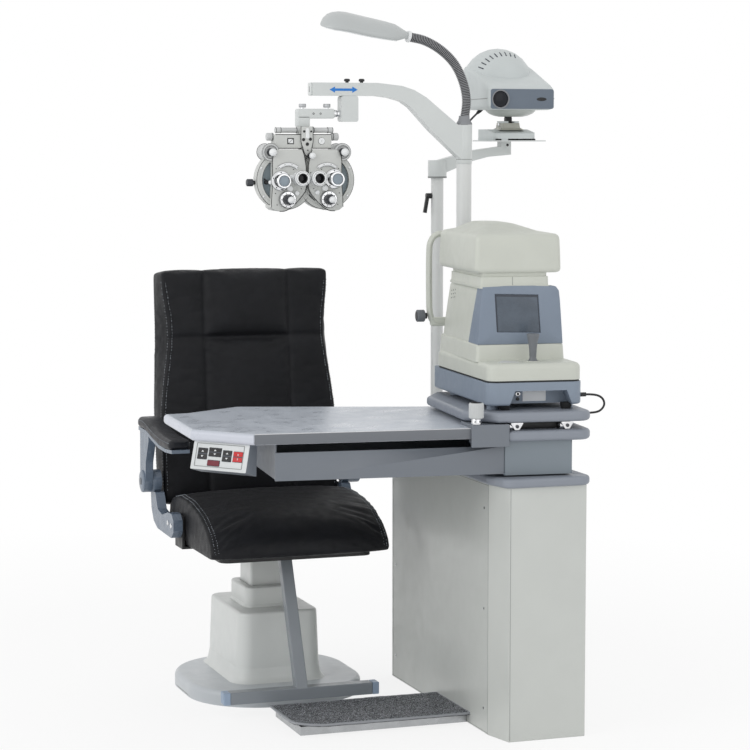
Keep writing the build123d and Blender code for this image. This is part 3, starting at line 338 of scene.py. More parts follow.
PAINTS = {
    "cream_enamel": (214, 217, 215), "cabinet_enamel": (204, 207, 203), "grey_enamel": (130, 136, 142),
    "swing_grey": (128, 138, 146), "bracket_enamel": (115, 121, 129), "pole_cream": (220, 222, 221),
    "arm_enamel": (212, 216, 215), "lamp_enamel": (190, 194, 194), "phoropter_grey": (203, 205, 202),
    "box_enamel": (214, 217, 218), "plate_enamel": (190, 195, 199), "bowl_enamel": (186, 191, 187),
    "edge_grey": (110, 114, 120), "pedestal_beige": (178, 178, 168),
}
PLASTICS = {
    "blue_plastic": (150, 168, 190), "grey_blue_plastic": (140, 146, 156), "pale_plastic": (200, 203, 203),
    "smoked_plastic": (112, 116, 121), "blue_grey_plastic": (136, 148, 163), "refractor_cream": (205, 208, 199),
    "projector_plastic": (206, 212, 212), "black_plastic": (26, 27, 29), "dark_red_plastic": (112, 22, 40),
    "bezel_plastic": (130, 142, 158), "panel_plastic": (106, 117, 130), "white_print_and_highlight": (214, 216, 218),
    "mark_blue": (24, 120, 205), "hose_collar": (140, 142, 146), "diffuser": (240, 242, 243),
    "panel_line": (142, 145, 144), "mat_edge": (150, 153, 158), "well_grey": (120, 132, 138),
    "pale_grey": (204, 206, 206), "screen_frame": (62, 68, 78), "plate_white": (238, 240, 241),
}


def all_materials():
    made = {name: paint(name, rgb) for name, rgb in PAINTS.items()}
    made.update({name: plastic(name, rgb) for name, rgb in PLASTICS.items()})
    made["arm_plastic"] = plastic("arm_plastic_gloss", (102, 115, 131), 0.26, 1.6)
    made["red_plastic"] = plastic("red_plastic_gloss", (196, 30, 34), 0.22, 2.0)
    made["black_leather"] = leather("black_leather", (20, 21, 25), 0.5)
    made["pad_leather"] = leather("pad_leather", (24, 26, 32), 0.42)
    made["thread"] = Finish("thread", (150, 156, 163), 0.7, mottle=0.15, blotch=3).grain(0.4, 0.1).done()
    made["bright_steel"] = steel("bright_steel", (176, 178, 180), 0.34, (0.04, 1, 1))
    made["chrome"] = steel("chrome", (226, 227, 229), 0.12)
    made["dark_steel"] = steel("dark_steel", (82, 84, 88), 0.42)
    made["speckled_top"] = laminate("speckled_top", (190, 196, 205))
    made["speckled_rubber"] = mat_rubber("speckled_rubber", (104, 107, 112))
    made["cable_rubber"] = plastic("cable_rubber", (26, 26, 28), 0.5)
    made["dark_rubber"] = plastic("dark_rubber", (24, 25, 27), 0.75)
    made["gooseneck_steel"] = ribbed("gooseneck_steel", (150, 151, 154))
    made["screen_glass"] = glass("screen_glass", (92, 101, 112), 0.3, 0.1)
    made["lens_glass"] = glass("lens_glass", (10, 13, 24), 0.2, 0.04)
    made["loupe_glass"] = glass("loupe_glass", (138, 150, 160), 0.16, 0.4)
    return made


MAT = all_materials()


# ------------------------------------------------------------------ shapes
def ring(half_x, half_y, radius, steps=6):
    """Rounded rectangle round the origin, anticlockwise."""
    radius = min(radius, half_x * 0.999, half_y * 0.999)
    points = []
    for quarter, (sx, sy) in enumerate(((1, 1), (-1, 1), (-1, -1), (1, -1))):
        for step in range(steps + 1):
            angle = math.radians(90 * (quarter + step / steps))
            points.append((sx * (half_x - radius) + radius * math.cos(angle),
                           sy * (half_y - radius) + radius * math.sin(angle)))
    return points


def oval(half_x, half_y, steps=32):
    turn = 2 * math.pi / steps
    return [(half_x * math.cos(i * turn), half_y * math.sin(i * turn)) for i in range(steps)]


def loft(rings, close_ends=True, wrap=False):
    """Skin over rings of equally many points; wrap joins the last ring to the first."""
    count = len(rings[0])
    verts = [point for one in rings for point in one]
    total = len(verts)
    faces = []
    for level in range(len(rings) if wrap else len(rings) - 1):
        for i in range(count):
            j = (i + 1) % count
            low = level * count
            high = (low + count) % total
            faces.append((low + i, low + j, high + j, high + i))
    if close_ends and not wrap:
        faces.append(tuple(range(count))[::-1])
        faces.append(tuple(range(total - count, total)))
    return verts, faces


def stack(levels):
    """Loft of flat outlines, each given as (height, outline)."""
    return loft([[(x, y, z) for x, y in outline] for z, outline in levels])


def prism(outline, low, high):
    return stack([(low, outline), (high, outline)])


def shrunk(outline, inset):
    """Outline moved inwards by inset; anticlockwise outlines only."""
    result = []
    count = len(outline)
    for i, point in enumerate(outline):
        before = Vector(outline[i - 1])
        here = Vector(point)
        after = Vector(outline[(i + 1) % count])
        first = (here - before).normalized()
        second = (after - here).normalized()
        normal = Vector((-(first.y + second.y), first.x + second.x))
        size = normal.length or 1.0
        normal /= size
        bend = max(0.35, size / 2)
        moved = here + normal * inset / bend
        result.append((moved.x, moved.y))
    return result


def pillow(outline, low, high, edge, steps=4, under=None):
    """Prism whose rims are rounded over; the lower rim may have a radius of its own."""
    under = edge if under is None else under
    levels = []
    for step in range(steps + 1):
        turn = math.radians(90 * step / steps)
        levels.append((low + under * (1 - math.cos(turn)), shrunk(outline, under * (1 - math.sin(turn)))))
    for step in range(steps + 1):
        turn = math.radians(90 * step / steps)
        levels.append((high - edge * (1 - math.sin(turn)), shrunk(outline, edge * (1 - math.cos(turn)))))
    return stack(levels)


def lathe(profile, steps=40, hollow=False):
    """Turned solid from (radius, height) pairs; a hollow one's profile is a closed loop clear of the axis."""
    turn = 2 * math.pi / steps
    rings = []
    for radius, height in profile:
        size = max(radius, 0.01)
        rings.append([(size * math.cos(i * turn), size * math.sin(i * turn), height) for i in range(steps)])
    return loft(rings, wrap=hollow)


def smooth_path(points, per_run=8):
    """Catmull-Rom curve through the points."""
    points = [Vector(point) for point in points]
    ends = [points[0] * 2 - points[1]] + points + [points[-1] * 2 - points[-2]]
    path = []
    for i in range(1, len(ends) - 2):
        a, b, c, d = ends[i - 1:i + 3]
        for step in range(per_run):
            t = step / per_run
            path.append(0.5 * ((2 * b) + (c - a) * t + (2 * a - 5 * b + 4 * c - d) * t * t
                               + (3 * b - a - 3 * c + d) * t ** 3))
    return path + [points[-1]]


def sweep(path, section, sizes=None, closed=False):
    """Section (x, y pairs) carried along a path with little twist."""
    path = [Vector(point) for point in path]
    count = len(path)
    rings = []
    side = None
    for i in range(count):
        ahead = path[(i + 1) % count] if closed or i + 1 < count else path[i]
        behind = path[i - 1] if closed or i > 0 else path[i]
        tangent = (ahead - behind).normalized()
        if side is None:
            side = tangent.orthogonal().normalized()
        side = (side - tangent * side.dot(tangent)).normalized()
        other = tangent.cross(side)
        size = sizes[i] if sizes else 1.0
        rings.append([path[i] + (side * x + other * y) * size for x, y in section])
    return loft(rings, wrap=closed)


def tube(path, radius, steps=10, sizes=None, closed=False):
    return sweep(path, oval(radius, radius, steps), sizes, closed)


def normals_out(mesh):
    """Turn every face of a mesh outwards."""
    work = bmesh.new()
    work.from_mesh(mesh)
    bmesh.ops.recalc_face_normals(work, faces=work.faces)
    work.to_mesh(mesh)
    work.free()


def subdivided(piece, levels):
    smooth = piece.modifiers.new("smooth", "SUBSURF")
    smooth.levels = levels
    smooth.render_levels = levels


class Shape:
    """One piece, gathered from patches that each have their own axes and finish."""

    def __init__(self, axes=STILL):
        self.axes = axes
        self.verts = []
        self.faces = []
        self.finish = []
        self.finishes = []

    def add(self, patch, finish, axes=STILL):
        verts, faces = patch
        if finish not in self.finishes:
            self.finishes.append(finish)
        start = len(self.verts)
        place = self.axes @ axes
        self.verts += [place @ Vector(vert) for vert in verts]
        self.faces += [tuple(start + i for i in face) for face in faces]
        self.finish += [self.finishes.index(finish)] * len(faces)
        return self

    def turned(self, profile, finish, axes=STILL, steps=40, hollow=False):
        return self.add(lathe(profile, steps, hollow), finish, axes)

    def make(self, name, body, replaces=(), bevel=0.0, segments=3, subdivide=0, sharp=38):
        mesh = bpy.data.meshes.new(name)
        mesh.from_pydata([vert * M for vert in self.verts], [], self.faces)
        mesh.polygons.foreach_set("material_index", self.finish)
        for finish in self.finishes:
            mesh.materials.append(MAT[finish])
        normals_out(mesh)
        mesh.polygons.foreach_set("use_smooth", [True] * len(mesh.polygons))
        mesh.set_sharp_from_angle(angle=math.radians(sharp))
        piece = bpy.data.objects.new(name, mesh)
        SCENE.collection.objects.link(piece)
        if subdivide:
            subdivided(piece, subdivide)
        if bevel:
            rounded(piece, bevel, segments)
        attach(piece, body)
        if replaces:
            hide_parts(*replaces)
        return piece


def rounded(piece, width, segments=3, angle=35):
    bevel = piece.modifiers.new("edges", "BEVEL")
    bevel.width = width * M
    bevel.segments = segments
    bevel.limit_method = "ANGLE"
    bevel.angle_limit = math.radians(angle)
    bevel.harden_normals = True


# ------------------------------------------------------------------ CAD nodes that stay
CAD_FINISH = {
    "chair_base_plate": "plate_enamel", "chair_base_cover": "cream_enamel", "lift_actuator": "dark_steel",
    "lift_column": "cream_enamel", "seat_frame": "black_plastic", "footrest_frame": "grey_enamel",
    "footrest_caps": "blue_plastic", "back_spar": "dark_steel", "cabinet_body": "cabinet_enamel",
    "cabinet_screws": "chrome", "cabinet_top_plate": "grey_blue_plastic", "foot_tray": "bright_steel",
    "main_pole": "pole_cream", "projector_post": "pole_cream", "swing_box": "swing_grey",
    "lower_platform": "grey_blue_plastic", "tabletop": "speckled_top", "table_bracket": "bracket_enamel",
    "drawer_housing": "bracket_enamel", "drawer_tray": "bracket_enamel", "control_box": "bracket_enamel",
    "lift_switch": "black_plastic", "lamp_switch": "black_plastic", "instrument_switch": "black_plastic",
    "power_switch": "red_plastic", "platform_rollers": "chrome", "upper_platform": "grey_blue_plastic",
    "refractor_base": "blue_grey_plastic", "refractor_gland": "black_plastic", "phoropter_arm": "arm_enamel",
    "arm_slider": "arm_enamel", "projector_beam": "arm_enamel", "projector_base": "projector_plastic",
    "clamp_lever": "black_plastic", "armrest_base_left": "arm_plastic", "armrest_base_right": "arm_plastic",
    "armrest_left": "arm_plastic", "armrest_right": "arm_plastic",
}
CAD_EDGES = {
    "swing_box": 2, "cabinet_body": 1.5, "drawer_housing": 1.2, "drawer_tray": 1.2, "control_box": 1.0,
    "table_bracket": 1.5, "phoropter_arm": 3, "projector_beam": 2, "footrest_frame": 2.5, "foot_tray": 0.8,
    "armrest_base_left": 3, "armrest_base_right": 3, "armrest_left": 3, "armrest_right": 3, "seat_frame": 1,
    "back_spar": 1.5, "projector_base": 2, "clamp_lever": 1,
}


def dress_frame():
    for node, finish in CAD_FINISH.items():
        slots = NODES[node].data.materials
        slots.clear()
        slots.append(MAT[finish])
    for node, width in CAD_EDGES.items():
        weld = NODES[node].modifiers.new("weld", "WELD")
        weld.merge_threshold = 0.02 * M
        rounded(NODES[node], width, 2)


# ------------------------------------------------------------------ autorefractor
TRUNK_X, TRUNK_Y = 7, 143.5
TRUNK_FRONT = -25
DECK_HEIGHT = 44
HEAD_STEM, HEAD_WALL = 42.3, 91.7
TRUNK_HEIGHT = 173
STICK = at(24, -72, 0)                                    # the joystick and its well
CHIN_Y = 333                                              # the chin rest's frame and knob


def trunk_half(share):
    """Half the trunk's width at a share of its height."""
    return 105 - 12 * max(0.0, share) ** 1.2


def refractor_body():
    """Deck, skirt, tapering trunk and neck, with the blue-grey bezel round the screen."""
    low, high = box_in("refractor_body", TABLE)
    deck_low = low.z
    deck_high = deck_low + DECK_HEIGHT
    trunk_top = deck_high + TRUNK_HEIGHT
    shape = Shape(TABLE)
    deck = soft_corners([(-98, -123), (130, -123), (132, 312), (-111, 312)], 24)
    # black band round the foot of the deck: painted shade for the gap between the deck and the base
    shape.add(stack([(deck_low + 0.1, shrunk(deck, 1.6)), (deck_low + 3.8, shrunk(deck, 1.6))]), "black_plastic")
    shape.add(pillow(deck, deck_low + 3.6, deck_high, 13, 6, under=1.2), "refractor_cream")
    levels = []
    for share in (0, 0.12, 0.3, 0.5, 0.7, 0.85, 0.94):
        levels.append((deck_high - 3 + (TRUNK_HEIGHT + 3) * share, share, 0))
    for inset in (0, 1.2, 3.6, 7.5):
        levels.append((trunk_top - 8 + 8 * math.sin(math.radians(90 * (1 - (1 - inset / 7.5) ** 1.6))), 1.0, inset))
    rings = []
    for z, share, inset in levels:
        rear = 312 - 40 * share ** 1.2 - inset
        half_y = (rear - TRUNK_FRONT - inset * 0.4) / 2
        rings.append((z, moved(ring(trunk_half(share) - inset, half_y, 8), TRUNK_X, rear - half_y)))
    shape.add(stack(rings), "refractor_cream")
    skirt = []
    for rise, out in ((-3, 4.6), (3, 3.8), (33, 3.2), (36, 2.4), (37.6, 0.6), (37.8, -1)):
        half_y = (312 - TRUNK_FRONT) / 2 + out
        band = ring(trunk_half(rise / TRUNK_HEIGHT) + out, half_y, 9)
        skirt.append((deck_high + rise, moved(band, TRUNK_X, TRUNK_Y)))
    shape.add(stack(skirt), "refractor_cream")
    neck = [(trunk_top - 3, 86, 140), (trunk_top + 2, 86, 140), (trunk_top + 4, 83.5, 137.5), (high.z - 9, 83, 137),
            (high.z - 8.5, 80, 134), (high.z, 80, 134)]
    shape.add(stack([(z, moved(ring(half_x, half_y, 7), -7, 112.5)) for z, half_x, half_y in neck]),
              "refractor_cream")
    well = [(20, deck_high - 1), (20, deck_high + 1.5), (18, deck_high + 2.4), (12.4, deck_high + 1.2),
            (11.8, deck_high - 1)]
    shape.turned(well, "refractor_cream", STICK)
    shape.turned([(12, deck_high + 0.5), (12, deck_high + 1.4)], "black_plastic", STICK)
    for step in range(7):
        reach = 26 - 3.4 * step
        key = moved(oval(reach, 2.0, 24), -40, -88 + 6.2 * step)
        shape.add(stack([(deck_high - 1, key), (deck_high + 0.9, key), (deck_high + 1.3, shrunk(key, 0.5))]),
                  "pale_plastic")
    shape.make("instrument_body", "refractor", ("refractor_body",), sharp=50)
    bezel(deck_high, trunk_top)


def moved(outline, x, y):
    return [(px + x, py + y) for px, py in outline]


def soft_corners(outline, radius, steps=6):
    """Straight outline with each corner rounded."""
    result = []
    count = len(outline)
    for i, point in enumerate(outline):
        here = Vector(point)
        back = (Vector(outline[i - 1]) - here).normalized()
        on = (Vector(outline[(i + 1) % count]) - here).normalized()
        half = back.angle(on) / 2
        reach = radius / math.tan(half)
        centre = here + (back + on).normalized() * radius / math.sin(half)
        first = here + back * reach - centre
        turn = first.angle_signed(here + on * reach - centre)
        for step in range(steps + 1):
            angle = -turn * step / steps
            cosine = math.cos(angle)
            sine = math.sin(angle)
            result.append((centre.x + first.x * cosine - first.y * sine,
                           centre.y + first.x * sine + first.y * cosine))
    return result


def slab(left, right, low, high, radius=0.0, steps=6):
    """Rectangle between two sides and two heights; a radius rounds its corners."""
    outline = [(left, low), (right, low), (right, high), (left, high)]
    return soft_corners(outline, radius, steps) if radius else outline


def bezel(deck_high, trunk_top):
    """Blue-grey hood flush with the skirt, folded onto the trunk's sides, with a sunken screen."""
    bottom, top = deck_high + 37.5, trunk_top + 1
    front = TRUNK_FRONT - 3.2
    outline = []
    for share in (0.0, 0.25, 0.5, 0.75, 1.0):
        z = bottom + (top - bottom) * share
        outline.append((trunk_half((z - deck_high) / TRUNK_HEIGHT) + 1.4, z, share))
    right = [(TRUNK_X + half, z) for half, z, share in outline]
    left = [(TRUNK_X - half, z) for half, z, share in outline][::-1]
    corner = [(right[-1][0] - 3 - 8 * (1 - math.cos(math.radians(turn))),
               top - 11 + 11 * math.sin(math.radians(turn)))
              for turn in (30, 60, 90)]
    face = right[:-1] + [(right[-1][0], top - 11)] + corner
    face += [(TRUNK_X + 30, top + 2), (TRUNK_X - 40, top + 2)] + left
    face += [(TRUNK_X - 50, bottom), (TRUNK_X + 50, bottom)]
    hole = [(-52, bottom + 28), (58, bottom + 25), (51, top - 19), (-58, top - 16)]
    face = dense(face, 9)
    rings = []
    for depth, inset in ((None, 0), (front + 2.4, 0), (front + 0.7, 0.6), (front, 2.2)):
        level = []
        for (x, z), (px, pz) in zip(face, shrunk(face, inset)):
            share = (z - bottom) / (top - bottom)
            back = TRUNK_FRONT + 1
            if abs(x - TRUNK_X) > 70:
                back = TRUNK_FRONT + (83 - 45 * share if x < TRUNK_X else 50 - 20 * share)
            level.append((px, back if depth is None else depth, pz))
        rings.append(level)
    for depth, inset in ((front, 0), (front + 0.4, 0.5), (front + 2.4, 1.2)):
        rings.append([(x, depth, z) for x, z in matched(shrunk(hole, inset), face, TRUNK_X)])
    shape = Shape(TABLE)
    shape.add(loft(rings, close_ends=False), "bezel_plastic")
    # dark frame round the screen, widest at the top and the left: a real dark frame widened by the painted shadow of
    # the recess
    shape.add(pillow(shrunk(hole, 0.9), -0.2, 0.6, 0.2, 2), "screen_frame", at(0, front + 3, 0) @ TO_FRONT)
    pane = [(-47.5, bottom + 30), (54, bottom + 27.5), (47.5, top - 26), (-53, top - 23)]
    shape.add(pillow(soft_corners(pane, 1.5, 2), 0, 1.3, 0.3, 2), "screen_glass", at(0, front + 3, 0) @ TO_FRONT)
    shape.make("instrument_bezel", "refractor", sharp=35)


def dense(outline, step):
    """Outline with points added on its long runs."""
    result = []
    for a, b in zip(outline, outline[1:] + outline[:1]):
        parts = max(1, round(math.dist(a, b) / step))
        result += [(a[0] + (b[0] - a[0]) * i / parts, a[1] + (b[1] - a[1]) * i / parts) for i in range(parts)]
    return result


def matched(outline, template, x_mid):
    """The outline sampled at as many points as the template has, with the outline's own corners kept."""
    centre = Vector((x_mid, sum(p[1] for p in outline) / len(outline)))
    middle = Vector((x_mid, (min(p[1] for p in template) + max(p[1] for p in template)) / 2))
    spans = [max(abs(p[i] - middle[i]) for p in template) for i in (0, 1)]
    sizes = [max(abs(p[i] - centre[i]) for p in outline) for i in (0, 1)]
    result = []
    for point in template:
        ray = Vector(((point[0] - middle.x) / spans[0] * sizes[0], (point[1] - middle.y) / spans[1] * sizes[1]))
        best = 0.0
        for i in range(len(outline)):
            a = Vector(outline[i - 1]) - centre
            b = Vector(outline[i]) - centre
            edge = b - a
            cross = ray.x * edge.y - ray.y * edge.x
            if abs(cross) < 1e-9:
                continue
            far = (a.x * edge.y - a.y * edge.x) / cross
            along = (a.x * ray.y - a.y * ray.x) / cross
            if far > 0 and -1e-6 <= along <= 1 + 1e-6:
                best = max(best, far)
        result.append((centre.x + ray.x * best, centre.y + ray.y * best))
    for corner in outline:
        nearest = min(range(len(result)), key=lambda i: math.dist(result[i], corner))
        result[nearest] = corner
    return result


def refractor_trim():
    """Vent holes and the neck's seam."""
    low, high = box_in("refractor_body", TABLE)
    dark = Shape(TABLE)
    for row, y in enumerate((216, 232, 248)):
        for column in range(3):
            z = high.z - 71 + column * 9 - row * 2
            side_x = TRUNK_X - trunk_half((z - low.z - DECK_HEIGHT) / TRUNK_HEIGHT)
            spot = at(side_x, y, z) @ spun(-90, "Y")
            dark.turned([(1.9, -1.2), (1.9, 0.2), (1.3, 0.4)], "black_plastic", spot, 12)
    seam = slab(-13.6, -12.6, -25.4, -24)
    dark.add(prism(seam, high.z - 29, high.z - 9), "panel_line")
    dark.make("instrument_vents", "refractor")


def refractor_head():
    """Head with crisp lower edges, nearly flat sides and a low hump on its roof."""
    low, high = box_in("refractor_head", TABLE)
    base_low = low.z + HEAD_STEM
    shoulder = base_low + HEAD_WALL
    shape = Shape(TABLE)
    y_mid, half_x, half_y = 139.5, 106, 172.5
    levels = []
    for share, inset in ((0, 8), (0.012, 4.6), (0.04, 1.6), (0.085, 0.2), (0.14, 0), (0.5, 0.9), (0.84, 2.2),
                         (0.91, 3.2), (0.955, 5.4), (0.985, 9), (1.0, 14)):
        levels.append((base_low + (shoulder - base_low) * share,
                       moved(ring(half_x - inset, half_y - inset, 13, 8), 0, y_mid)))
    crown = high.z - shoulder
    for share in (0.25, 0.5, 0.75, 0.92, 1.0):
        rise = shoulder + crown * math.sin(math.radians(90 * share)) ** 1.6 * 0.98
        shrink = share ** 0.8
        levels.append((rise, moved(ring((half_x - 14) * (1 - 0.72 * shrink), (half_y - 14) * (1 - 0.62 * shrink),
                                        14 + 18 * share, 8), -16 * shrink, y_mid + 34 * shrink)))
    shape.add(stack(levels), "refractor_cream")
    shape.add(prism(moved(ring(22, 21, 2), 7, 120), low.z, base_low + 2), "dark_steel")
    shape.make("instrument_head", "refractor_head", ("refractor_head",), sharp=60)


def joystick():
    low = box_in("joystick", TABLE)[0]
    shape = Shape(TABLE)
    z = low.z + 11
    profile = [(0, z - 11), (6, z - 9.3), (9.4, z - 5.6), (11, z), (9.4, z + 5.6), (8, z + 8.5), (8.2, z + 14),
               (9.2, z + 30), (11, z + 46), (13.4, z + 56), (14.8, z + 61), (15, z + 64), (14, z + 65.4), (0, z + 66)]
    shape.turned(profile, "smoked_plastic", STICK, 48)
    shape.make("joystick_grip", "joystick", ("joystick",))


def chinrest():
    """Slim bent frame that carries the forehead band and the chin cup."""
    top = box_in("chinrest_frame", TABLE)[1].z
    cross = top - 236
    y = CHIN_Y
    shape = Shape(TABLE)
    left, right = -124, 138
    path = [(left + 42, y, cross + 7), (left + 12, y, cross + 11), (left + 2, y, cross + 34), (left, y, cross + 80),
            (left, y, top - 60), (left + 4, y, top - 26), (left + 20, y, top - 9), (left + 48, y, top - 7),
            (right - 48, y, top - 7), (right - 20, y, top - 9), (right - 4, y, top - 26), (right, y, top - 60),
            (right, y, cross + 80), (right - 2, y, cross + 34), (right - 12, y, cross + 11),
            (right - 42, y, cross + 7)]
    shape.add(sweep(smooth_path(path, 6), ring(6.5, 6.5, 3, 3)), "refractor_cream")
    shape.add(pillow(slab(left + 3, right - 3, cross - 1, cross + 21, 6), -6.5, 6.5, 3), "refractor_cream",
              at(0, y, 0) @ TO_FRONT)
    shape.add(pillow(slab(-16, 48, 840.5, cross + 4, 4), -6.5, 6.5, 3), "refractor_cream", at(0, y, 0) @ TO_FRONT)
    cup = [(0, cross + 12), (20, cross + 12), (25, cross + 14), (26, cross + 20), (24, cross + 21.6),
           (17, cross + 17.5), (0, cross + 16.5)]
    shape.turned(cup, "diffuser", at(16, y + 1, 0))
    shape.add(pillow(soft_corners([(-60, top - 24), (92, top - 24), (86, top - 3), (-54, top - 3)], 8), -9, 3, 4),
              "smoked_plastic", at(0, y, 0) @ TO_FRONT)
    shape.make("chinrest_arch", "platform", ("chinrest_frame",))


def chin_knob():
    low, high = box_in("chinrest_knob", TABLE)
    shape = Shape(TABLE @ at(low.x, CHIN_Y, (low.z + high.z) / 2) @ TO_SIDE)
    shape.add(knurled(15, 0, 20, 28, 0.9), "smoked_plastic")
    shape.turned([(11, -0.2), (9, 0.4), (0, 0.6)], "dark_steel", at(0, 0, -0.7))
    shape.turned([(7.5, 19), (7.5, 26)], "black_plastic")
    shape.make("chinrest_grip", "chinrest_knob", ("chinrest_knob",))


def knurled(radius, low, high, ribs, depth, cap=1.5):
    """Grip with ribs along its side and a rounded rim."""
    steps = ribs * 4
    rings = []
    for height, inset in ((low, cap), (low + cap, 0), (high - cap, 0), (high, cap)):
        points = []
        for i in range(steps):
            angle = 2 * math.pi * i / steps
            size = radius - inset - (depth if i % 4 in (0, 1) and not inset else 0)
            points.append((size * math.cos(angle), size * math.sin(angle), height))
        rings.append(points)
    return loft(rings)


def lock_knob():
    low = box_in("table_lock_knob", TABLE)[0]
    shape = Shape(TABLE @ at(-135, -150, low.z))
    shape.turned([(11.5, 0), (12, 0.6), (12, 12.5), (11, 14)], "chrome")
    for i in range(6):
        spot = spun(60 * i, "Z") @ at(11.6, 0, 7) @ TO_SIDE
        shape.turned([(1.9, -0.4), (1.9, 0.7), (0.2, 0.75)], "black_plastic", spot, 12)
    shape.add(knurled(17.5, 14, 50, 24, 0.8, 2.2), "pale_plastic")
    shape.turned([(14.4, 49.7), (13.6, 50), (0, 50)], "pale_plastic")
    shape.make("lock_knob", "table_lock", ("table_lock_knob",))


def base_trim():
    """Conical rubber feet, the blank plate and the sockets at the instrument's base."""
    low = box_in("refractor_base", TABLE)[0]
    shape = Shape(TABLE)
    for x, y in ((-52, -98), (98, -98), (-76, 256), (108, 256)):
        foot = [(11, low.z), (11.8, low.z + 1.5), (13.6, low.z + 13), (13.6, low.z + 15)]
        shape.turned(foot, "dark_rubber", at(x, y, 0))
    face = at(0, -78.6, 0) @ TO_FRONT
    z = low.z + 17
    shape.add(pillow(slab(-3, 54, z, z + 27, 1.5), 0, 1.6, 0.7), "plate_white", face)
    shape.turned([(6.5, 0), (6.5, 3), (5, 4), (3.2, 4), (3, 1)], "chrome", face @ at(-15, z + 18, 0))
    shape.turned([(3, 1.2), (0, 1.2)], "black_plastic", face @ at(-15, z + 18, 0))
    shape.turned([(4, 0), (4, 3), (1, 3.4)], "black_plastic", face @ at(-15, z + 6, 0))
    shape.make("instrument_feet", "platform")


# ------------------------------------------------------------------ phoropter
PH_X, PH_Y = 41.0, -230.0
DRUM = (52.6, 1304)                                       # places of one half: out from the middle, and height
EYE_TUBE = (21.8, 1308.5)
LOUPE = (68.3, 1304.5)
UPPER_DIAL = (92, 1372)
LOWER_DIAL = (52.7, 1256.7)
SCALE = (50, 1306, 36.5)                                  # the power scale's centre and radius
SMALL_CAPS = {-1: [(-41, 1312.5, 5.2), (-28.4, 1271.7, 5.4), (-46, 1283, 7)],
              1: [(51, 1315, 5.2), (24, 1274, 5.4), (44, 1284, 7)]}


def ball(radius, height, rings=9):
    """Profile of a ball sitting on its neck."""
    turns = [-70 + 160 * i / (rings - 1) for i in range(rings)]
    return [(radius * math.cos(math.radians(turn)), height + radius * math.sin(math.radians(turn))) for turn in turns]


def hoop(radius, height, thick=0.8):
    """Closed profile of a thin raised ring line."""
    return [(radius + x, height + z) for x, z in oval(thick, thick, 8)]


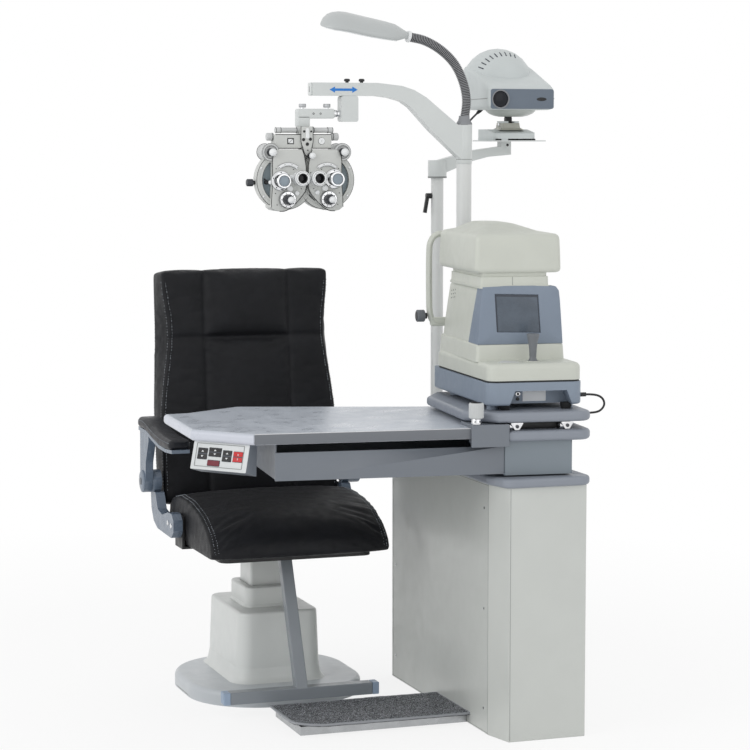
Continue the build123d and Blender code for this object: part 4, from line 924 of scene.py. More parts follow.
def phoropter_half(side, body):
    """Lens housing of one eye: drum, face plate, dials, loupe and eye tube."""
    word = "left" if side > 0 else "right"
    shape = Shape(at(PH_X, PH_Y, 0))
    drum_x, drum_z = side * DRUM[0], DRUM[1]

    def turned(profile, finish, x, z, steps=40, hollow=False):
        shape.turned(profile, finish, facing(x, z), steps, hollow=hollow)

    def lines(marks, thick, x, z, steps=40):
        for radius, height in marks:
            turned(hoop(radius, height, thick), "black_plastic", x, z, steps, hollow=True)

    def studs(profile, bearings, reach, x, z, steps):
        for bearing in bearings:
            angle = math.radians(bearing)
            turned(profile, "black_plastic", x + reach * math.cos(angle), z + reach * math.sin(angle), steps)

    turned([(60, -15), (71.5, -15), (73, -13), (73, 12.4), (71.8, 14.6), (59, 15), (58, 13.6), (58, 9)],
           "phoropter_grey", drum_x, drum_z, 72)
    turned([(58.2, 6), (58.2, 9.4), (0, 9.6)], "well_grey", drum_x, drum_z, 72)
    lines([(58.4, 14.2), (72.2, 14.2)], 0.7, drum_x, drum_z, 72)
    turned(hoop(64.5, 14.4, 0.5), "panel_line", drum_x, drum_z, 72, hollow=True)
    for bearing in (-64, -36, 26, 52):
        angle = math.radians(bearing)
        x, z = drum_x + side * 67.5 * math.cos(angle), drum_z + 67.5 * math.sin(angle)
        turned([(2.6, 14), (2.6, 16.2), (1.8, 16.8), (0, 16.8)], "chrome", x, z, 16)
        turned([(1.1, 16.6), (0, 17.1)], "black_plastic", x, z, 10)

    half_plate = [(3, 1336), (3, 1284), (12, 1267), (27, 1250), (43, 1236), (57, 1229), (71, 1228), (84, 1231),
                  (92, 1238), (91, 1262), (88.6, 1300), (88.6, 1352), (85, 1371), (76, 1378.6), (13, 1378.6),
                  (8, 1366)]
    plate = [(side * x, z) for x, z in half_plate][::side]
    shape.add(pillow(counted(plate), -28, 29, 3.0, 3), "phoropter_grey", TO_FRONT)
    # black lines along the plate's inner and top edges: painted shade of the plate's side faces
    edge = [(side * x, -27.6, z) for x, z in half_plate[-2:] + half_plate[:7]]
    shape.add(tube(smooth_path(edge, 4), 0.9, 6), "black_plastic")
    outer = [(side * x, -27.6, z) for x, z in half_plate[8:13]]
    shape.add(tube(smooth_path(outer, 4), 0.8, 6), "black_plastic")

    # eye tube: barrel, pale flange, dark ring and bore
    x, z = side * EYE_TUBE[0], EYE_TUBE[1]
    flange = [(17, 27), (17, 53), (18.8, 54), (18.8, 61), (17.8, 62.6), (12.4, 63), (12, 61), (12, 27)]
    turned(flange, "plate_white", x, z, hollow=True)
    throat = [(12.2, 40), (12.2, 62.4), (10.8, 62.8), (9.4, 61), (9.2, 40)]
    turned(throat, "black_plastic", x, z, hollow=True)
    turned([(9.6, 44), (9.4, 50), (0, 50.2)], "lens_glass", x, z)
    turned(hoop(5.2, 50.4, 0.6), "dark_steel", x, z, 24, hollow=True)
    lines([(18.6, 28), (18.9, 54.2), (16.2, 62.4)], 0.45, x, z)
    studs([(1.0, 62.4), (1.0, 63.2), (0, 63.3)], range(45, 405, 90), 14.6, x, z, 8)

    # turning loupe on its round plate
    x, z = side * LOUPE[0], LOUPE[1] + 2 * side
    turned([(24, 28), (24, 31.4), (22.6, 32.6), (15, 32.8), (15, 50),
            (18, 51), (18, 58.4), (16.6, 60), (13.6, 60), (13.2, 57.5)], "chrome", x, z, 48)
    turned([(13.4, 57.4), (9, 58.4), (0, 58.8)], "loupe_glass", x, z)
    lines([(24, 31), (15.6, 33), (18.1, 51.4), (13.8, 59.6)], 0.5, x, z)
    studs([(1.5, 32), (1.5, 33.6), (0, 33.8)], range(18, 378, 72), 20.4, x, z, 10)

    # power scale over both, with its lugs
    for radius, finish, depth in ((36.5, "plate_white", 31.5), (40.2, "black_plastic", 30.6),
                                  (32.8, "black_plastic", 30.6)):
        band = []
        for i in range(15):
            angle = math.radians(50 + 80 * i / 14)
            band.append((side * SCALE[0] + radius * math.cos(angle), -depth, SCALE[1] + radius * math.sin(angle)))
        half_width = 3.4 if finish == "plate_white" else 0.7
        shape.add(sweep(band, ring(half_width, 2.4, 0.5, 1) if finish == "plate_white" else oval(0.7, 0.7, 6)),
                  finish)
    studs([(1.4, 31), (1.4, 34.4), (0, 34.6)], (52, 76, 104, 128), SCALE[2], side * SCALE[0], SCALE[1], 10)
    for x, z, radius in SMALL_CAPS[side]:
        turned([(radius, 28), (radius, 36), (radius - 1.2, 37.4), (0, 37.6)], "plate_white", x, z, 24)
        lines([(radius + 0.2, 28.4)], 0.6, x, z, 24)
    for x, z in ((8, 1322), (36, 1330), (80, 1332), (82, 1272), (36, 1262), (78, 1244), (40, 1244), (16, 1283)):
        turned([(1.3, 28.4), (1.3, 29.4), (0, 29.5)], "black_plastic", side * x, z, 10)

    # upper dial: long cylinder, dark-lined ring, tapered neck and white ball
    x, z = side * UPPER_DIAL[0], UPPER_DIAL[1]
    turned([(19, -28), (20.6, -26), (20.6, 18), (21.6, 19), (21.6, 25),
            (20.6, 26.4), (16.6, 26.6), (16, 23), (9, 22.6)], "pale_grey", x, z, 48)
    lines([(20.9, -26), (21.4, 19.4), (21.2, 25.4), (16.4, 26)], 0.55, x, z, 48)
    shape.add(knurled(10, 22, 36, 18, 0.8), "dark_steel", facing(x, z))
    turned(ball(9.6, 44), "plate_white", x, z)
    turned([(11, -12), (11, 22)], "phoropter_grey", x, z - 14, 24)

    if side < 0:
        stub = at(drum_x - 72, 0, 1298) @ spun(-90, "Y")
        shape.add(knurled(9, 6, 22, 18, 0.9), "dark_steel", stub)
        shape.turned([(5, -1), (5, 7)], "black_plastic", stub, 24)
        turned([(5.4, 9), (5.4, 15), (4, 17.5), (0, 18)], "black_plastic", -100, 1299, 24)
        turned([(2.2, 9), (2.2, 13)], "black_plastic", -104, 1306, 12)
        turned(ball(5.2, 24), "plate_white", -93, 1299, 24)
        turned([(2.6, 9), (2.6, 20)], "chrome", -93, 1299, 16)
    shape.make("phoropter_housing_" + word, body, ("phoropter_" + word,), sharp=40)


def counted(outline):
    """The outline, turned anticlockwise."""
    area = sum(a[0] * b[1] - b[0] * a[1] for a, b in zip(outline, outline[1:] + outline[:1]))
    return outline if area > 0 else outline[::-1]


def phoropter_dial(side, body):
    """Lower dial: pale flange with a ring of dots, dark knurl and white ball."""
    word = "left" if side > 0 else "right"
    shape = Shape(at(PH_X + side * LOWER_DIAL[0], PH_Y, LOWER_DIAL[1]) @ TO_FRONT)
    shape.turned([(19, 30.2), (20.4, 31.4), (20.4, 39), (19.4, 40.4), (12, 40.8)], "chrome", steps=48)
    shape.add(knurled(12.4, 40.2, 56, 20, 1.0, 1.2), "dark_steel")
    shape.turned([(8, 55.5), (7.4, 60)], "chrome", steps=32)
    shape.turned(ball(8.4, 67), "plate_white", steps=32)
    for radius, height in ((20.4, 31.6), (20.2, 39), (13.6, 40.8)):
        shape.turned(hoop(radius, height, 0.55), "black_plastic", steps=48, hollow=True)
    for i in range(10):
        dot = spun(36 * i, "Z") @ at(16.8, 0, 0)
        shape.turned([(1.2, 40), (1.2, 41), (0, 41.1)], "black_plastic", dot, 10)
    shape.make("lens_dial_" + word, body, ("phoropter_dial_" + word,))


def phoropter_bridge():
    """Two side plates, their rods and end knobs, and the tapering middle block with its lever."""
    shape = Shape(at(PH_X, PH_Y, 10.5))
    for left, right in ((-80, -11), (15, 66)):
        cheek = slab(left, right, 1370.4, 1405, 4)
        shape.add(pillow(cheek, -18, 18, 2.5), "phoropter_grey", TO_FRONT)
        for z in (1370.6, 1404.6):
            line = [(left + 2, -17.8, z), (right - 2, -17.8, z)]
            shape.add(tube(line, 0.9, 6), "black_plastic")
    window = slab(-48, -31, 1381, 1396, 1.5)
    shape.add(prism(window, 17, 18.5), "black_plastic", TO_FRONT)
    shape.add(prism(shrunk(window, 2.4), 17.6, 19.2), "plate_white", TO_FRONT)
    shape.turned([(8, 17.6), (8, 19.4), (6, 20), (3.4, 19.6)], "plate_white", facing(40, 1388.5), 32)
    shape.turned([(3.6, 19), (0, 19.8)], "black_plastic", facing(40, 1388.5), 24)
    shape.turned(hoop(8.2, 18, 0.6), "black_plastic", facing(40, 1388.5), 32, hollow=True)
    block = [(-14, 1424), (-14, 1386), (-5, 1358), (0, 1352), (6, 1352), (11, 1358), (17, 1386), (17, 1424)]
    shape.add(pillow(counted(block), -22, 22, 2), "phoropter_grey", TO_FRONT)
    edge = [(x, -21.4, z) for x, z in block]
    shape.add(tube(edge, 0.8, 6), "black_plastic")
    lever = soft_corners([(-3, 1394), (7, 1394), (5.5, 1420), (-1.5, 1420)], 3)
    shape.add(pillow(lever, 21, 27, 2), "plate_white", TO_FRONT)
    for x, z, radius in ((-7.6, 1392, 4), (10, 1393, 4), (2, 1381, 4.2), (-6, 1412, 3), (12, 1412, 2.4),
                         (3, 1366, 1.6)):
        shape.turned([(radius, 21.4), (radius, 22.6), (radius * 0.5, 22.8), (0, 22.2)], "black_plastic",
                     facing(x, z), 20)
    knob = facing(9, 1353)
    shape.add(knurled(7.4, 15, 35, 16, 0.9), "dark_steel", knob)
    shape.turned(ball(8, 42), "plate_white", knob, 32)
    for side, start, end, out in ((-1, 14, 74, 96), (1, 17, 72, 88)):
        rod = spun(90 * side, "Y")
        shape.turned([(6, start), (6.4, start + 1), (6.4, end - 14), (7, end - 13), (7, end), (5.6, end + 1.4)],
                     "pale_grey", at(0, -4, 1415) @ rod, 28)
        for reach in (start + 6, end - 13.4, end - 1):
            shape.turned([(7.3, reach), (7.3, reach + 1.2)], "black_plastic", at(0, -4, 1415) @ rod, 28)
        shape.turned([(4.4, end - 6), (4.4, out - 16)], "dark_steel", at(0, 0, 1399) @ rod, 20)
        shape.add(knurled(9.4, out - 18, out, 18, 1.0), "pale_grey", at(0, 0, 1399) @ rod)
        shape.turned([(9.7, out - 15), (9.7, out - 13.8)], "black_plastic", at(0, 0, 1399) @ rod, 28)
    shape.make("phoropter_crossbar", "phoropter", ("phoropter_bridge",))


HANGER_Z = 1466


def hanger():
    low, high = box_in("phoropter_hanger")
    shape = Shape(at(0, ARM_Y, 0))
    bar = slab(25, 121, 1454, 1478, 5)
    shape.add(pillow(bar, -12, 12, 2.5), "arm_enamel", TO_FRONT)
    stem = slab(25, 57, 1434.3, 1460, 3)
    shape.add(pillow(stem, -12, 12, 2), "arm_enamel", TO_FRONT)
    shape.turned([(8, 0), (8, 30)], "chrome", at(120, 0, HANGER_Z) @ TO_SIDE, 28)
    shape.turned([(10, 0), (10, 5), (9, 6)], "chrome", at(119.5, 0, HANGER_Z) @ TO_SIDE, 28)
    shape.turned([(6, low.z), (6, 1435)], "chrome", at(41, 0, 0), 24)
    for x in (41, 104):
        shape.turned([(4.5, 1477), (4.5, 1482)], "chrome", at(x, 0, 0), 20)
        shape.add(knurled(9, 1481, high.z, 18, 0.7, 1), "bright_steel", at(x, 0, 0))
    for x in (122, 128, 137):
        shape.turned([(8.3, 0), (8.3, 1.2)], "black_plastic", at(x, 0, HANGER_Z) @ TO_SIDE, 28)
    for x in (66, 84):
        shape.turned([(2.4, 11.6), (2.4, 12.5), (1.5, 12.6), (1.4, 11.4)], "black_plastic", facing(x, HANGER_Z), 14)
    shape.make("phoropter_hanger_bar", "hanger", ("phoropter_hanger",))


# ------------------------------------------------------------------ arm and lamp
def arm_trim():
    """Double arrow, clamp knobs, slotted end cap and ring seam of the phoropter arm."""
    shape = Shape(at(0, -235, 0) @ TO_FRONT)
    z, left, right = 1524.8, 106, 179
    arrow = [(left, z), (left + 14, z - 7.5), (left + 14, z - 3), (right - 14, z - 3), (right - 14, z - 7.5),
             (right, z), (right - 14, z + 7.5), (right - 14, z + 3), (left + 14, z + 3), (left + 14, z + 7.5)]
    shape.add(prism(arrow, -0.2, 0.35), "mark_blue")
    shape.make("arm_arrow", "arm")
    knobs = Shape()
    for x in (156.5, 194.6):
        knobs.turned([(4, 1541), (4, 1545), (7, 1545.5), (7.4, 1547), (7, 1550.5), (5, 1552)], "black_plastic",
                     at(x, ARM_Y, 0), 24)
    cap = at(62, ARM_Y, 1526) @ spun(-90, "Y")
    knobs.add(pillow(ring(15.2, 13.4, 4), 0, 3, 1.2), "arm_enamel", cap)
    knobs.add(prism(ring(7, 1.4, 1.2), 2.6, 3.2), "black_plastic", cap)
    knobs.turned([(20.3, 1352), (20.3, 1353.6)], "panel_line", at(POLE_X, ARM_Y, 0), 48)
    knobs.make("arm_knobs", "arm")


GOOSENECK = [(468, 1455), (473, 1500), (464, 1545), (441, 1590), (405, 1624), (362, 1647), (322, 1656)]


def gooseneck():
    """Steel hose of separate ribs over a black core that paints the shade in the grooves between them, in its tapered
    collar.
    """
    path = smooth_path([(x, ARM_Y, z) for x, z in GOOSENECK], 24)
    shape = Shape()
    # black core seen between the ribs: painted shade in the grooves
    shape.add(tube(path, 10.4, 20), "black_plastic")
    pitch, reach = 4.2, 0.0
    profile = [(-1.2, 0.88), (-0.8, 0.975), (0, 1.0), (0.8, 0.975), (1.2, 0.88)]
    for a, b in zip(path, path[1:]):
        span = (b - a).length
        along = (b - a).normalized()
        while reach < span:
            middle = a + along * reach
            rib = [middle + along * shift for shift, _ in profile]
            shape.add(tube(rib, 12, 24, [size for _, size in profile]), "gooseneck_steel")
            reach += pitch
        reach -= span
    collar = [(20, 1439.4), (20.4, 1441), (19.4, 1444), (15.5, 1450), (13.8, 1456), (13.4, 1461), (12, 1462)]
    shape.turned(collar, "hose_collar", at(POLE_X, ARM_Y, 0), 48)
    shape.turned([(8, 1409.3), (8, 1441)], "dark_steel", at(POLE_X, ARM_Y, 0), 24)
    shape.make("lamp_hose", "lamp", ("lamp_gooseneck",), sharp=50)


LAMP_ROLL = -28


def lamp_axes():
    tip, before = GOOSENECK[-1], GOOSENECK[-2]
    climb = math.atan2(tip[1] - before[1], before[0] - tip[0])
    return at(tip[0], ARM_Y, tip[1]) @ Matrix.Rotation(climb, 4, "Y") @ spun(180, "Z")


def lamp_head():
    """Drooping shell with a bright diffuser underneath, a neck ring and a small switch."""
    sections = [(0.4, 9, 10), (16, 12, 13), (28, 15, 26), (41, 18, 38), (64, 19.3, 42), (87, 20, 44), (113, 20.5, 45),
                (142, 20.8, 46), (171, 21, 46), (188, 20, 46), (205, 18, 42), (216, 14, 36), (226, 9, 25),
                (232, 4, 12), (234, 1, 4)]
    droop = [(0, 0), (41, 0), (113, 3.5), (171, 5), (195, 7.5), (216, 13), (226, 18), (234, 25)]
    axes = lamp_axes()
    roll = spun(LAMP_ROLL, "X")

    def skin(kept, wide, over, under, lift):
        rings = []
        for along, thick, broad in kept:
            drop = at(along, 0, -height_at(droop, along)) @ roll
            points = []
            for y, z in oval(broad * wide, thick, 40):
                points.append(drop @ Vector((0, y, (z * over if z > 0 else z * under) + lift)))
            rings.append(points)
        return loft(rings)

    shell = Shape(axes)
    shell.add(skin(sections, 1.0, 1.0, 0.55, 0), "lamp_enamel")
    shell.add(skin(sections[3:-2], 0.96, 0.05, 0.66, -1.4), "diffuser")
    shell.turned([(12.6, 0.2), (14.5, 1), (14.5, 7), (13, 8.4)], "diffuser", TO_SIDE, 36)
    shell.add(pillow(slab(30, 54, -7, 7, 3), -12.5, -7, 1.2), "lamp_enamel", roll)
    shell.add(pillow(slab(34, 50, -4, 4, 1.5), -14.4, -11, 0.8), "panel_line", roll)
    shell.make("lamp_shade", "lamp", ("lamp_head",), sharp=55)


# ------------------------------------------------------------------ projector
DOME = (620, -60, 1544)                                   # centre of the lamp house
DOME_RADIUS = 92
BASE_X, BASE_Y = 630.5, -110                              # middle of the tilting base


def projector_body():
    """Housing with a domed lamp house, a blue-grey front panel, lens and vents."""
    shape = Shape()
    x_mid, half = 625.5, 92
    under, top, front, rear = 1477, 1592, -215, -18
    rings = []
    stations = [(front + 1.2, under + 4, 1530, 6), (front + 6, under + 1, 1536, 2), (front + 22, under, 1543, 0.6),
                (front + 60, under, 1556, 0), (front + 100, under, 1571, 0), (front + 140, under, 1585, 0),
                (rear - 34, under + 2, top, 0), (rear - 18, under + 8, top - 1, 2),
                (rear - 6, under + 22, top - 10, 8), (rear, under + 34, top - 24, 18)]
    for y, low, high, inset in stations:
        mid = (low + high) / 2
        outline = ring(half - inset, (high - low) / 2, 13, 6)
        rings.append([(x_mid + x, y, mid + z) for x, z in outline])
    shape.add(loft(rings), "projector_plastic")
    dome = []
    for i in range(13):
        angle = math.radians(-90 + 180 * i / 12)
        dome.append((max(DOME_RADIUS * math.cos(angle), 0.05), DOME_RADIUS * math.sin(angle)))
    verts, faces = lathe(dome, 64)
    kept = [(x, min(y, 82), max(z, -48)) for x, y, z in verts]
    shape.add((kept, faces), "projector_plastic", at(*DOME))
    # side parting line
    for side in (-1, 1):
        line = [(x_mid + side * (half - 0.2), y, 1506 - (y - front) * 0.02) for y in (front + 8, -120, rear - 30)]
        shape.add(tube(line, 0.9, 6), "panel_line")
    bowl = [(0, 1460), (30, 1460.2), (44, 1463), (56, 1468), (63, 1474), (66, 1479)]
    shape.turned(bowl, "bowl_enamel", at(634, -118, 0), 56)
    lug = slab(-8, 8, 1438, 1462, 6)
    shape.add(pillow(lug, -8, 8, 1), "black_plastic", at(BASE_X, BASE_Y, 0) @ TO_FRONT)
    shape.make("projector_housing", "projector", ("projector_body",), sharp=50)
    panel(x_mid, half, front)
    vents()
    cord_boot()


def panel(x_mid, half, front):
    """Blue-grey front panel inside a pale border, with the lens in its ring and a bare dark oval."""
    shape = Shape(at(x_mid + 1.5, front, 1504.5) @ TO_FRONT)
    face = ring(half - 6, 25, 6, 6)
    shape.add(stack([(-3, face), (0.2, face), (0.9, shrunk(face, 1.2))]), "panel_plastic")
    lens = at(-60.5, -0.5, 0)
    shape.turned([(23.5, 0.6), (23.8, 3), (22.8, 4), (21.4, 4), (20.6, 1.6), (20.4, 0.4)], "hose_collar", lens, 56)
    shape.turned([(20.6, 0.8), (19, 1.8), (12, 3.2), (5, 3.8), (0, 4)], "lens_glass", lens, 56)
    badge = [(x + 52, z - 0.5) for x, z in oval(14, 5, 40)]
    shape.add(stack([(0.4, badge), (1.3, shrunk(badge, 0.6))]), "black_plastic")
    shape.make("projector_panel", "projector")


def vents():
    """Nine slots fanned over the front of the dome."""
    shape = Shape()
    centre = Vector(DOME)
    for i in range(9):
        bearing = math.radians(148 - 10 * i)
        lean = math.radians(33)
        out = Vector((math.cos(bearing) * math.cos(lean), -math.sin(lean), math.sin(bearing) * math.cos(lean)))
        across = out.cross(Vector((0, 1, 0))).normalized()
        along = across.cross(out)
        place = Matrix((across, along, out)).transposed().to_4x4()
        shape.add(pillow(slab(-1.3, 1.3, -9, 9, 1.2), -1.2, 0.4, 0.3), "screen_frame",
                  at(*(centre + out * (DOME_RADIUS - 0.1))) @ place)
    shape.make("projector_vents", "projector")


PROJECTOR_CORD = [(547, -105, 1469), (537, -105, 1460), (526, -103, 1448), (515, -98, 1432), (507, -90, 1412),
                  (505, -84, 1392), (505, -84, 1372)]
REFRACTOR_CORD = [(146, -100, 806), (168, -100, 806), (187, -102, 798), (193, -103, 781), (182, -102, 766),
                  (165, -100, 762), (146, -100, 762)]


def cord(name, points, radius, body, node, axes=STILL):
    data = bpy.data.curves.new(name, "CURVE")
    data.dimensions = "3D"
    data.bevel_depth = radius * M
    data.bevel_resolution = 4
    data.resolution_u = 12
    data.use_fill_caps = True
    spline = data.splines.new("NURBS")
    spline.points.add(len(points) - 1)
    for slot, point in zip(spline.points, points):
        place = axes @ Vector(point)
        slot.co = (place.x * M, place.y * M, place.z * M, 1)
    spline.order_u = 3
    spline.use_endpoint_u = True
    data.materials.append(MAT["cable_rubber"])
    lead = bpy.data.objects.new(name, data)
    SCENE.collection.objects.link(lead)
    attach(lead, body)
    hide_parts(node)


def cord_boot():
    """Moulded boot where the lead leaves the projector's underside."""
    start, ahead = Vector(PROJECTOR_CORD[0]), Vector(PROJECTOR_CORD[1])
    turn = (ahead - start).to_track_quat("Z", "Y").to_matrix().to_4x4()
    shape = Shape(at(*start) @ turn)
    shape.turned([(5, -16), (5, -8), (4.2, -6), (4.4, -4), (3.4, 0), (3.1, 0.5)], "cable_rubber", steps=24)
    shape.make("projector_boot", "projector")


def projector_trim():
    """Neck, rubber strips and bolts of the projector's base, and the beam's fittings."""
    shape = Shape()
    neck = []
    for z, half in ((1426, 34), (1429, 30), (1432, 25.5), (1444, 24)):
        neck.append((z, moved(ring(half, half, 7), BASE_X, BASE_Y)))
    shape.add(stack(neck), "pedestal_beige")
    for left, right in ((574, 592), (604, 684)):
        strip = slab(left, right, -168, -46, 3)
        shape.add(stack([(1400.1, strip), (1404, strip)]), "dark_rubber")
    for side in (-1, 1):
        shape.turned([(5, 0), (5, 3), (3, 4.4), (0, 4.6)], "chrome",
                     at(BASE_X + side * 23, BASE_Y, 1440) @ spun(90 * side, "Y"), 20)
    shape.make("projector_foot", "projector_arm")
    socket = Shape()
    socket.turned([(3.2, -0.2), (3.2, 0.8), (2.2, 1), (2, 0)], "black_plastic", at(636, -94, 1388) @ TO_FRONT, 20)
    socket.turned([(24.2, 1303.4), (24.4, 1306), (24.2, 1308)], "panel_line", at(447, -81, 0), 48)
    socket.make("beam_fittings", "projector_arm")


# ------------------------------------------------------------------ cabinet, tray and table trim
def cabinet_trim():
    """Panel seams and screw slots of the cabinet."""
    low, high = box_in("cabinet_body")
    shape = Shape()
    left, front, rear = low.x, low.y, high.y
    for z in (3.2, high.z - 5):
        shape.add(prism(slab(left - 0.25, left + 0.3, front + 84, rear - 1), z, z + 1.2), "panel_line")
    for y in (front + 85.5, rear - 12):
        shape.add(prism(slab(left - 0.25, left + 0.3, y, y + 1.2), 3, high.z - 2), "panel_line")
    shape.add(prism(slab(left + 21, left + 22.2, front - 0.25, front + 0.3), 3, high.z - 2), "panel_line")
    shape.make("cabinet_seams", "root")
    screws = Shape()
    for y in (front + 109, rear - 30):
        for z in (60, high.z / 2, high.z - 60):
            place = at(left - 1.7, y, z) @ spun(random.uniform(0, 90), "X")
            for turn in (0, 90):
                screws.add(prism(slab(-0.15, 0.15, -2.0, 2.0), -0.35, 0.35), "black_plastic", place @ spun(turn, "X"))
    screws.make("cabinet_screw_slots", "root")


def foot_mat():
    """Coarse mat on the tray, its free front corner a little lifted."""
    low, high = box_in("foot_mat")
    columns, rows = 60, 32
    shape = Shape()
    top, under = [], []
    for j in range(rows + 1):
        for i in range(columns + 1):
            x = low.x + (high.x - low.x) * i / columns
            y = low.y + (high.y - low.y) * j / rows
            corner = max(0.0, 1 - math.hypot((x - low.x) / 90, (y - low.y) / 90))
            wave = noise.noise(Vector((x * 0.02, y * 0.02, 3))) * 1.2
            lift = corner ** 2 * 9 + max(0.0, wave)
            top.append((x, y, high.z - 1.5 + lift + random.uniform(-0.35, 0.35)))
            under.append((x, y, low.z + lift))
    count = columns + 1
    faces = []
    for j in range(rows):
        for i in range(columns):
            a = j * count + i
            faces.append((a, a + 1, a + count + 1, a + count))
    shape.add((top, faces), "speckled_rubber")
    shape.add((under, [face[::-1] for face in faces]), "dark_rubber")
    loop = [j * count for j in range(rows, 0, -1)] + list(range(count))
    loop += [j * count + columns for j in range(1, rows + 1)]
    loop += [rows * count + i for i in range(columns - 1, 0, -1)]
    edge = [Vector(top[i]) + Vector((0, 0, -2.2)) for i in loop]
    shape.add(tube(edge, 3.2, 8, closed=True), "mat_edge")
    shape.make("foot_mat_cover", "root", ("foot_mat",), sharp=80)


def control_panel():
    """Raised frame, marks on the rockers and the small red lamp of the tilted switch box."""
    face = TABLE @ at(-722, -93.5, 0) @ spun(-45.23, "Z") @ at(0, 12, 714) @ spun(-16, "X") @ TO_FRONT
    shape = Shape(face)
    outer = slab(-75, 59, -59, -4, 2)
    plate = slab(-84.2, 71.2, -65.6, -0.4, 2)
    shape.add(pillow(plate, -0.6, 0.8, 0.4, 2), "box_enamel")
    levels = ((0, 0), (1.7, 0.3), (1.7, 1.5), (0, 1.9))
    rings = [[(x, z, depth) for x, z in shrunk(outer, inset)] for depth, inset in levels]
    shape.add(loft(rings, close_ends=False), "panel_line")
    lamp = slab(-37.8, -4.8, -55.2, -43, 1.5)
    shape.add(pillow(shrunk(lamp, -1.2), -1, 1.4, 0.5), "screen_frame")
    shape.add(pillow(lamp, -1, 2.6, 0.8), "dark_red_plastic")
    shape.make("control_panel_frame", "table")
    inverse = face.inverted()
    for name in ("lift_switch", "lamp_switch", "instrument_switch", "power_switch"):
        low, high = box_in(name, face)
        mesh = NODES[name].data
        tree = BVHTree.FromPolygons([inverse @ (vertex.co / M) for vertex in mesh.vertices],
                                    [tuple(polygon.vertices) for polygon in mesh.polygons])
        middle = (low + high) / 2
        marks = Shape(face)
        for side in (-1, 1):
            x, z = middle.x, middle.y + side * (high.y - low.y) * 0.25
            if name == "power_switch":
                mark = slab(x - 0.9, x + 0.9, z - 2.6, z + 2.6)
            else:
                mark = [(x - 3.4, z - 2 * side), (x + 3.4, z - 2 * side), (x, z + 2.6 * side)][::side]
            spot = tree.ray_cast(Vector((x, z, 30)), Vector((0, 0, -1)))[0]
            marks.add(prism(mark, spot.z - 0.8, spot.z + 0.25), "white_print_and_highlight")
        marks.make(name + "_marks", name)
        rim = slab(low.x - 1, high.x + 1, low.y - 1, high.y + 1, 1.2)
        well = Shape(face)
        well.add(prism(rim, -0.4, 1.2), "screen_frame")
        well.make(name + "_well", "table")


def drawer_gap():
    """The drawer's folded lip under its shadow gap."""
    low, high = box_in("drawer_tray", TABLE)
    shape = Shape(TABLE)
    lip = slab(low.x + 2, high.x - 2, high.z - 3, high.z)
    shape.add(pillow(soft_corners(lip, 1), -1, 2.5, 0.6), "bracket_enamel", at(0, -140.6, 0) @ TO_FRONT)
    shape.make("drawer_lip", "drawer")


def front_edge():
    """Flat grey edging on the tabletop's front, from its clipped corner to the bracket, with a white strip on its top
    edge as a painted highlight.
    """
    low, high = box_in("tabletop", TABLE)
    front = low.y
    left, right = -657, -148
    shape = Shape(TABLE)
    band = [(left, front - 1.1), (right, front - 1.1), (right, front + 9), (left + 10, front + 9)]
    shape.add(pillow(band, low.z + 2, high.z - 0.6, 0.8, 2), "edge_grey")
    # white strip along the band's top edge: a painted highlight on that edge
    shape.add(pillow(band[:2] + [(right, front + 5), (left + 5, front + 5)], high.z - 1.1, high.z + 0.2, 0.4, 2),
              "white_print_and_highlight")
    shape.make("table_edging", "table")


def roller_trim():
    """Splayed chrome forks of the rollers, hung before a rail made black as painted shade in the gap."""
    low, high = box_in("platform_rollers", TABLE)
    shape = Shape(TABLE)
    z = (low.z + high.z) / 2
    for x in (-40, 82):
        for y, face in ((-138, -151), (240, 251)):
            fork = soft_corners([(-5, -8.6), (5, -8.6), (16, 8.6), (-16, 8.6)], 1.5)
            shape.add(pillow(fork, -1, 1, 0.4, 2), "chrome", at(x + 3, face, z) @ TO_FRONT)
            shape.turned([(4.2, -0.2), (4.2, 2.2), (3, 3), (0, 3)], "dark_steel",
                         at(x + 3, face - 1, z) @ TO_FRONT, 20)
            shape.turned([(3, -15.8), (3, 15.8)], "dark_steel", at(x, y, z) @ TO_SIDE, 20)
    # black rails in the gap under the platform: painted shade, so that the gap reads dark
    for y in (-118, 222):
        painted_shade_rail = slab(-62, 96, y - 6, y + 6)
        shape.add(pillow(painted_shade_rail, low.z + 0.2, high.z - 0.4, 1, 2), "black_plastic")
    shape.make("roller_forks", "table")


# ------------------------------------------------------------------ chair
def chair_base_trim():
    """Flared skirt, ledge, collar seam and rim of the base cover."""
    low, high = box_in("chair_base_cover")
    y_mid = (low.y + high.y) / 2
    half_x, half_y = (high.x - low.x) / 2, (high.y - low.y) / 2
    shape = Shape(at(0, y_mid, 0))
    foot = ring(half_x, half_y, 37, 8)
    skirt = ((38.05, 15), (39.5, 13.5), (44, 7.5), (52, 3.2), (64, 0.9), (74, -1.2))
    shape.add(stack([(z, shrunk(foot, -out)) for z, out in skirt]), "cream_enamel")
    shape.make("base_skirt", "root")
    seams = Shape()
    collar = ring(68, 80, 22, 8)
    seams.add(stack([(215.6, shrunk(collar, -3)), (217, shrunk(collar, -3.4)), (221, shrunk(collar, -1.4)),
                     (224, shrunk(collar, 0.5))]), "cream_enamel")
    seams.make("collar_fillet", "root")
    rim = Shape(at(0, -32, 0))
    edge = ring(225, 239, 190, 16)
    rim.add(stack([(0.2, shrunk(edge, 1.5)), (4, shrunk(edge, -0.6)), (7, shrunk(edge, 0.5))]), "panel_line")
    rim.make("base_rubber_rim", "root")


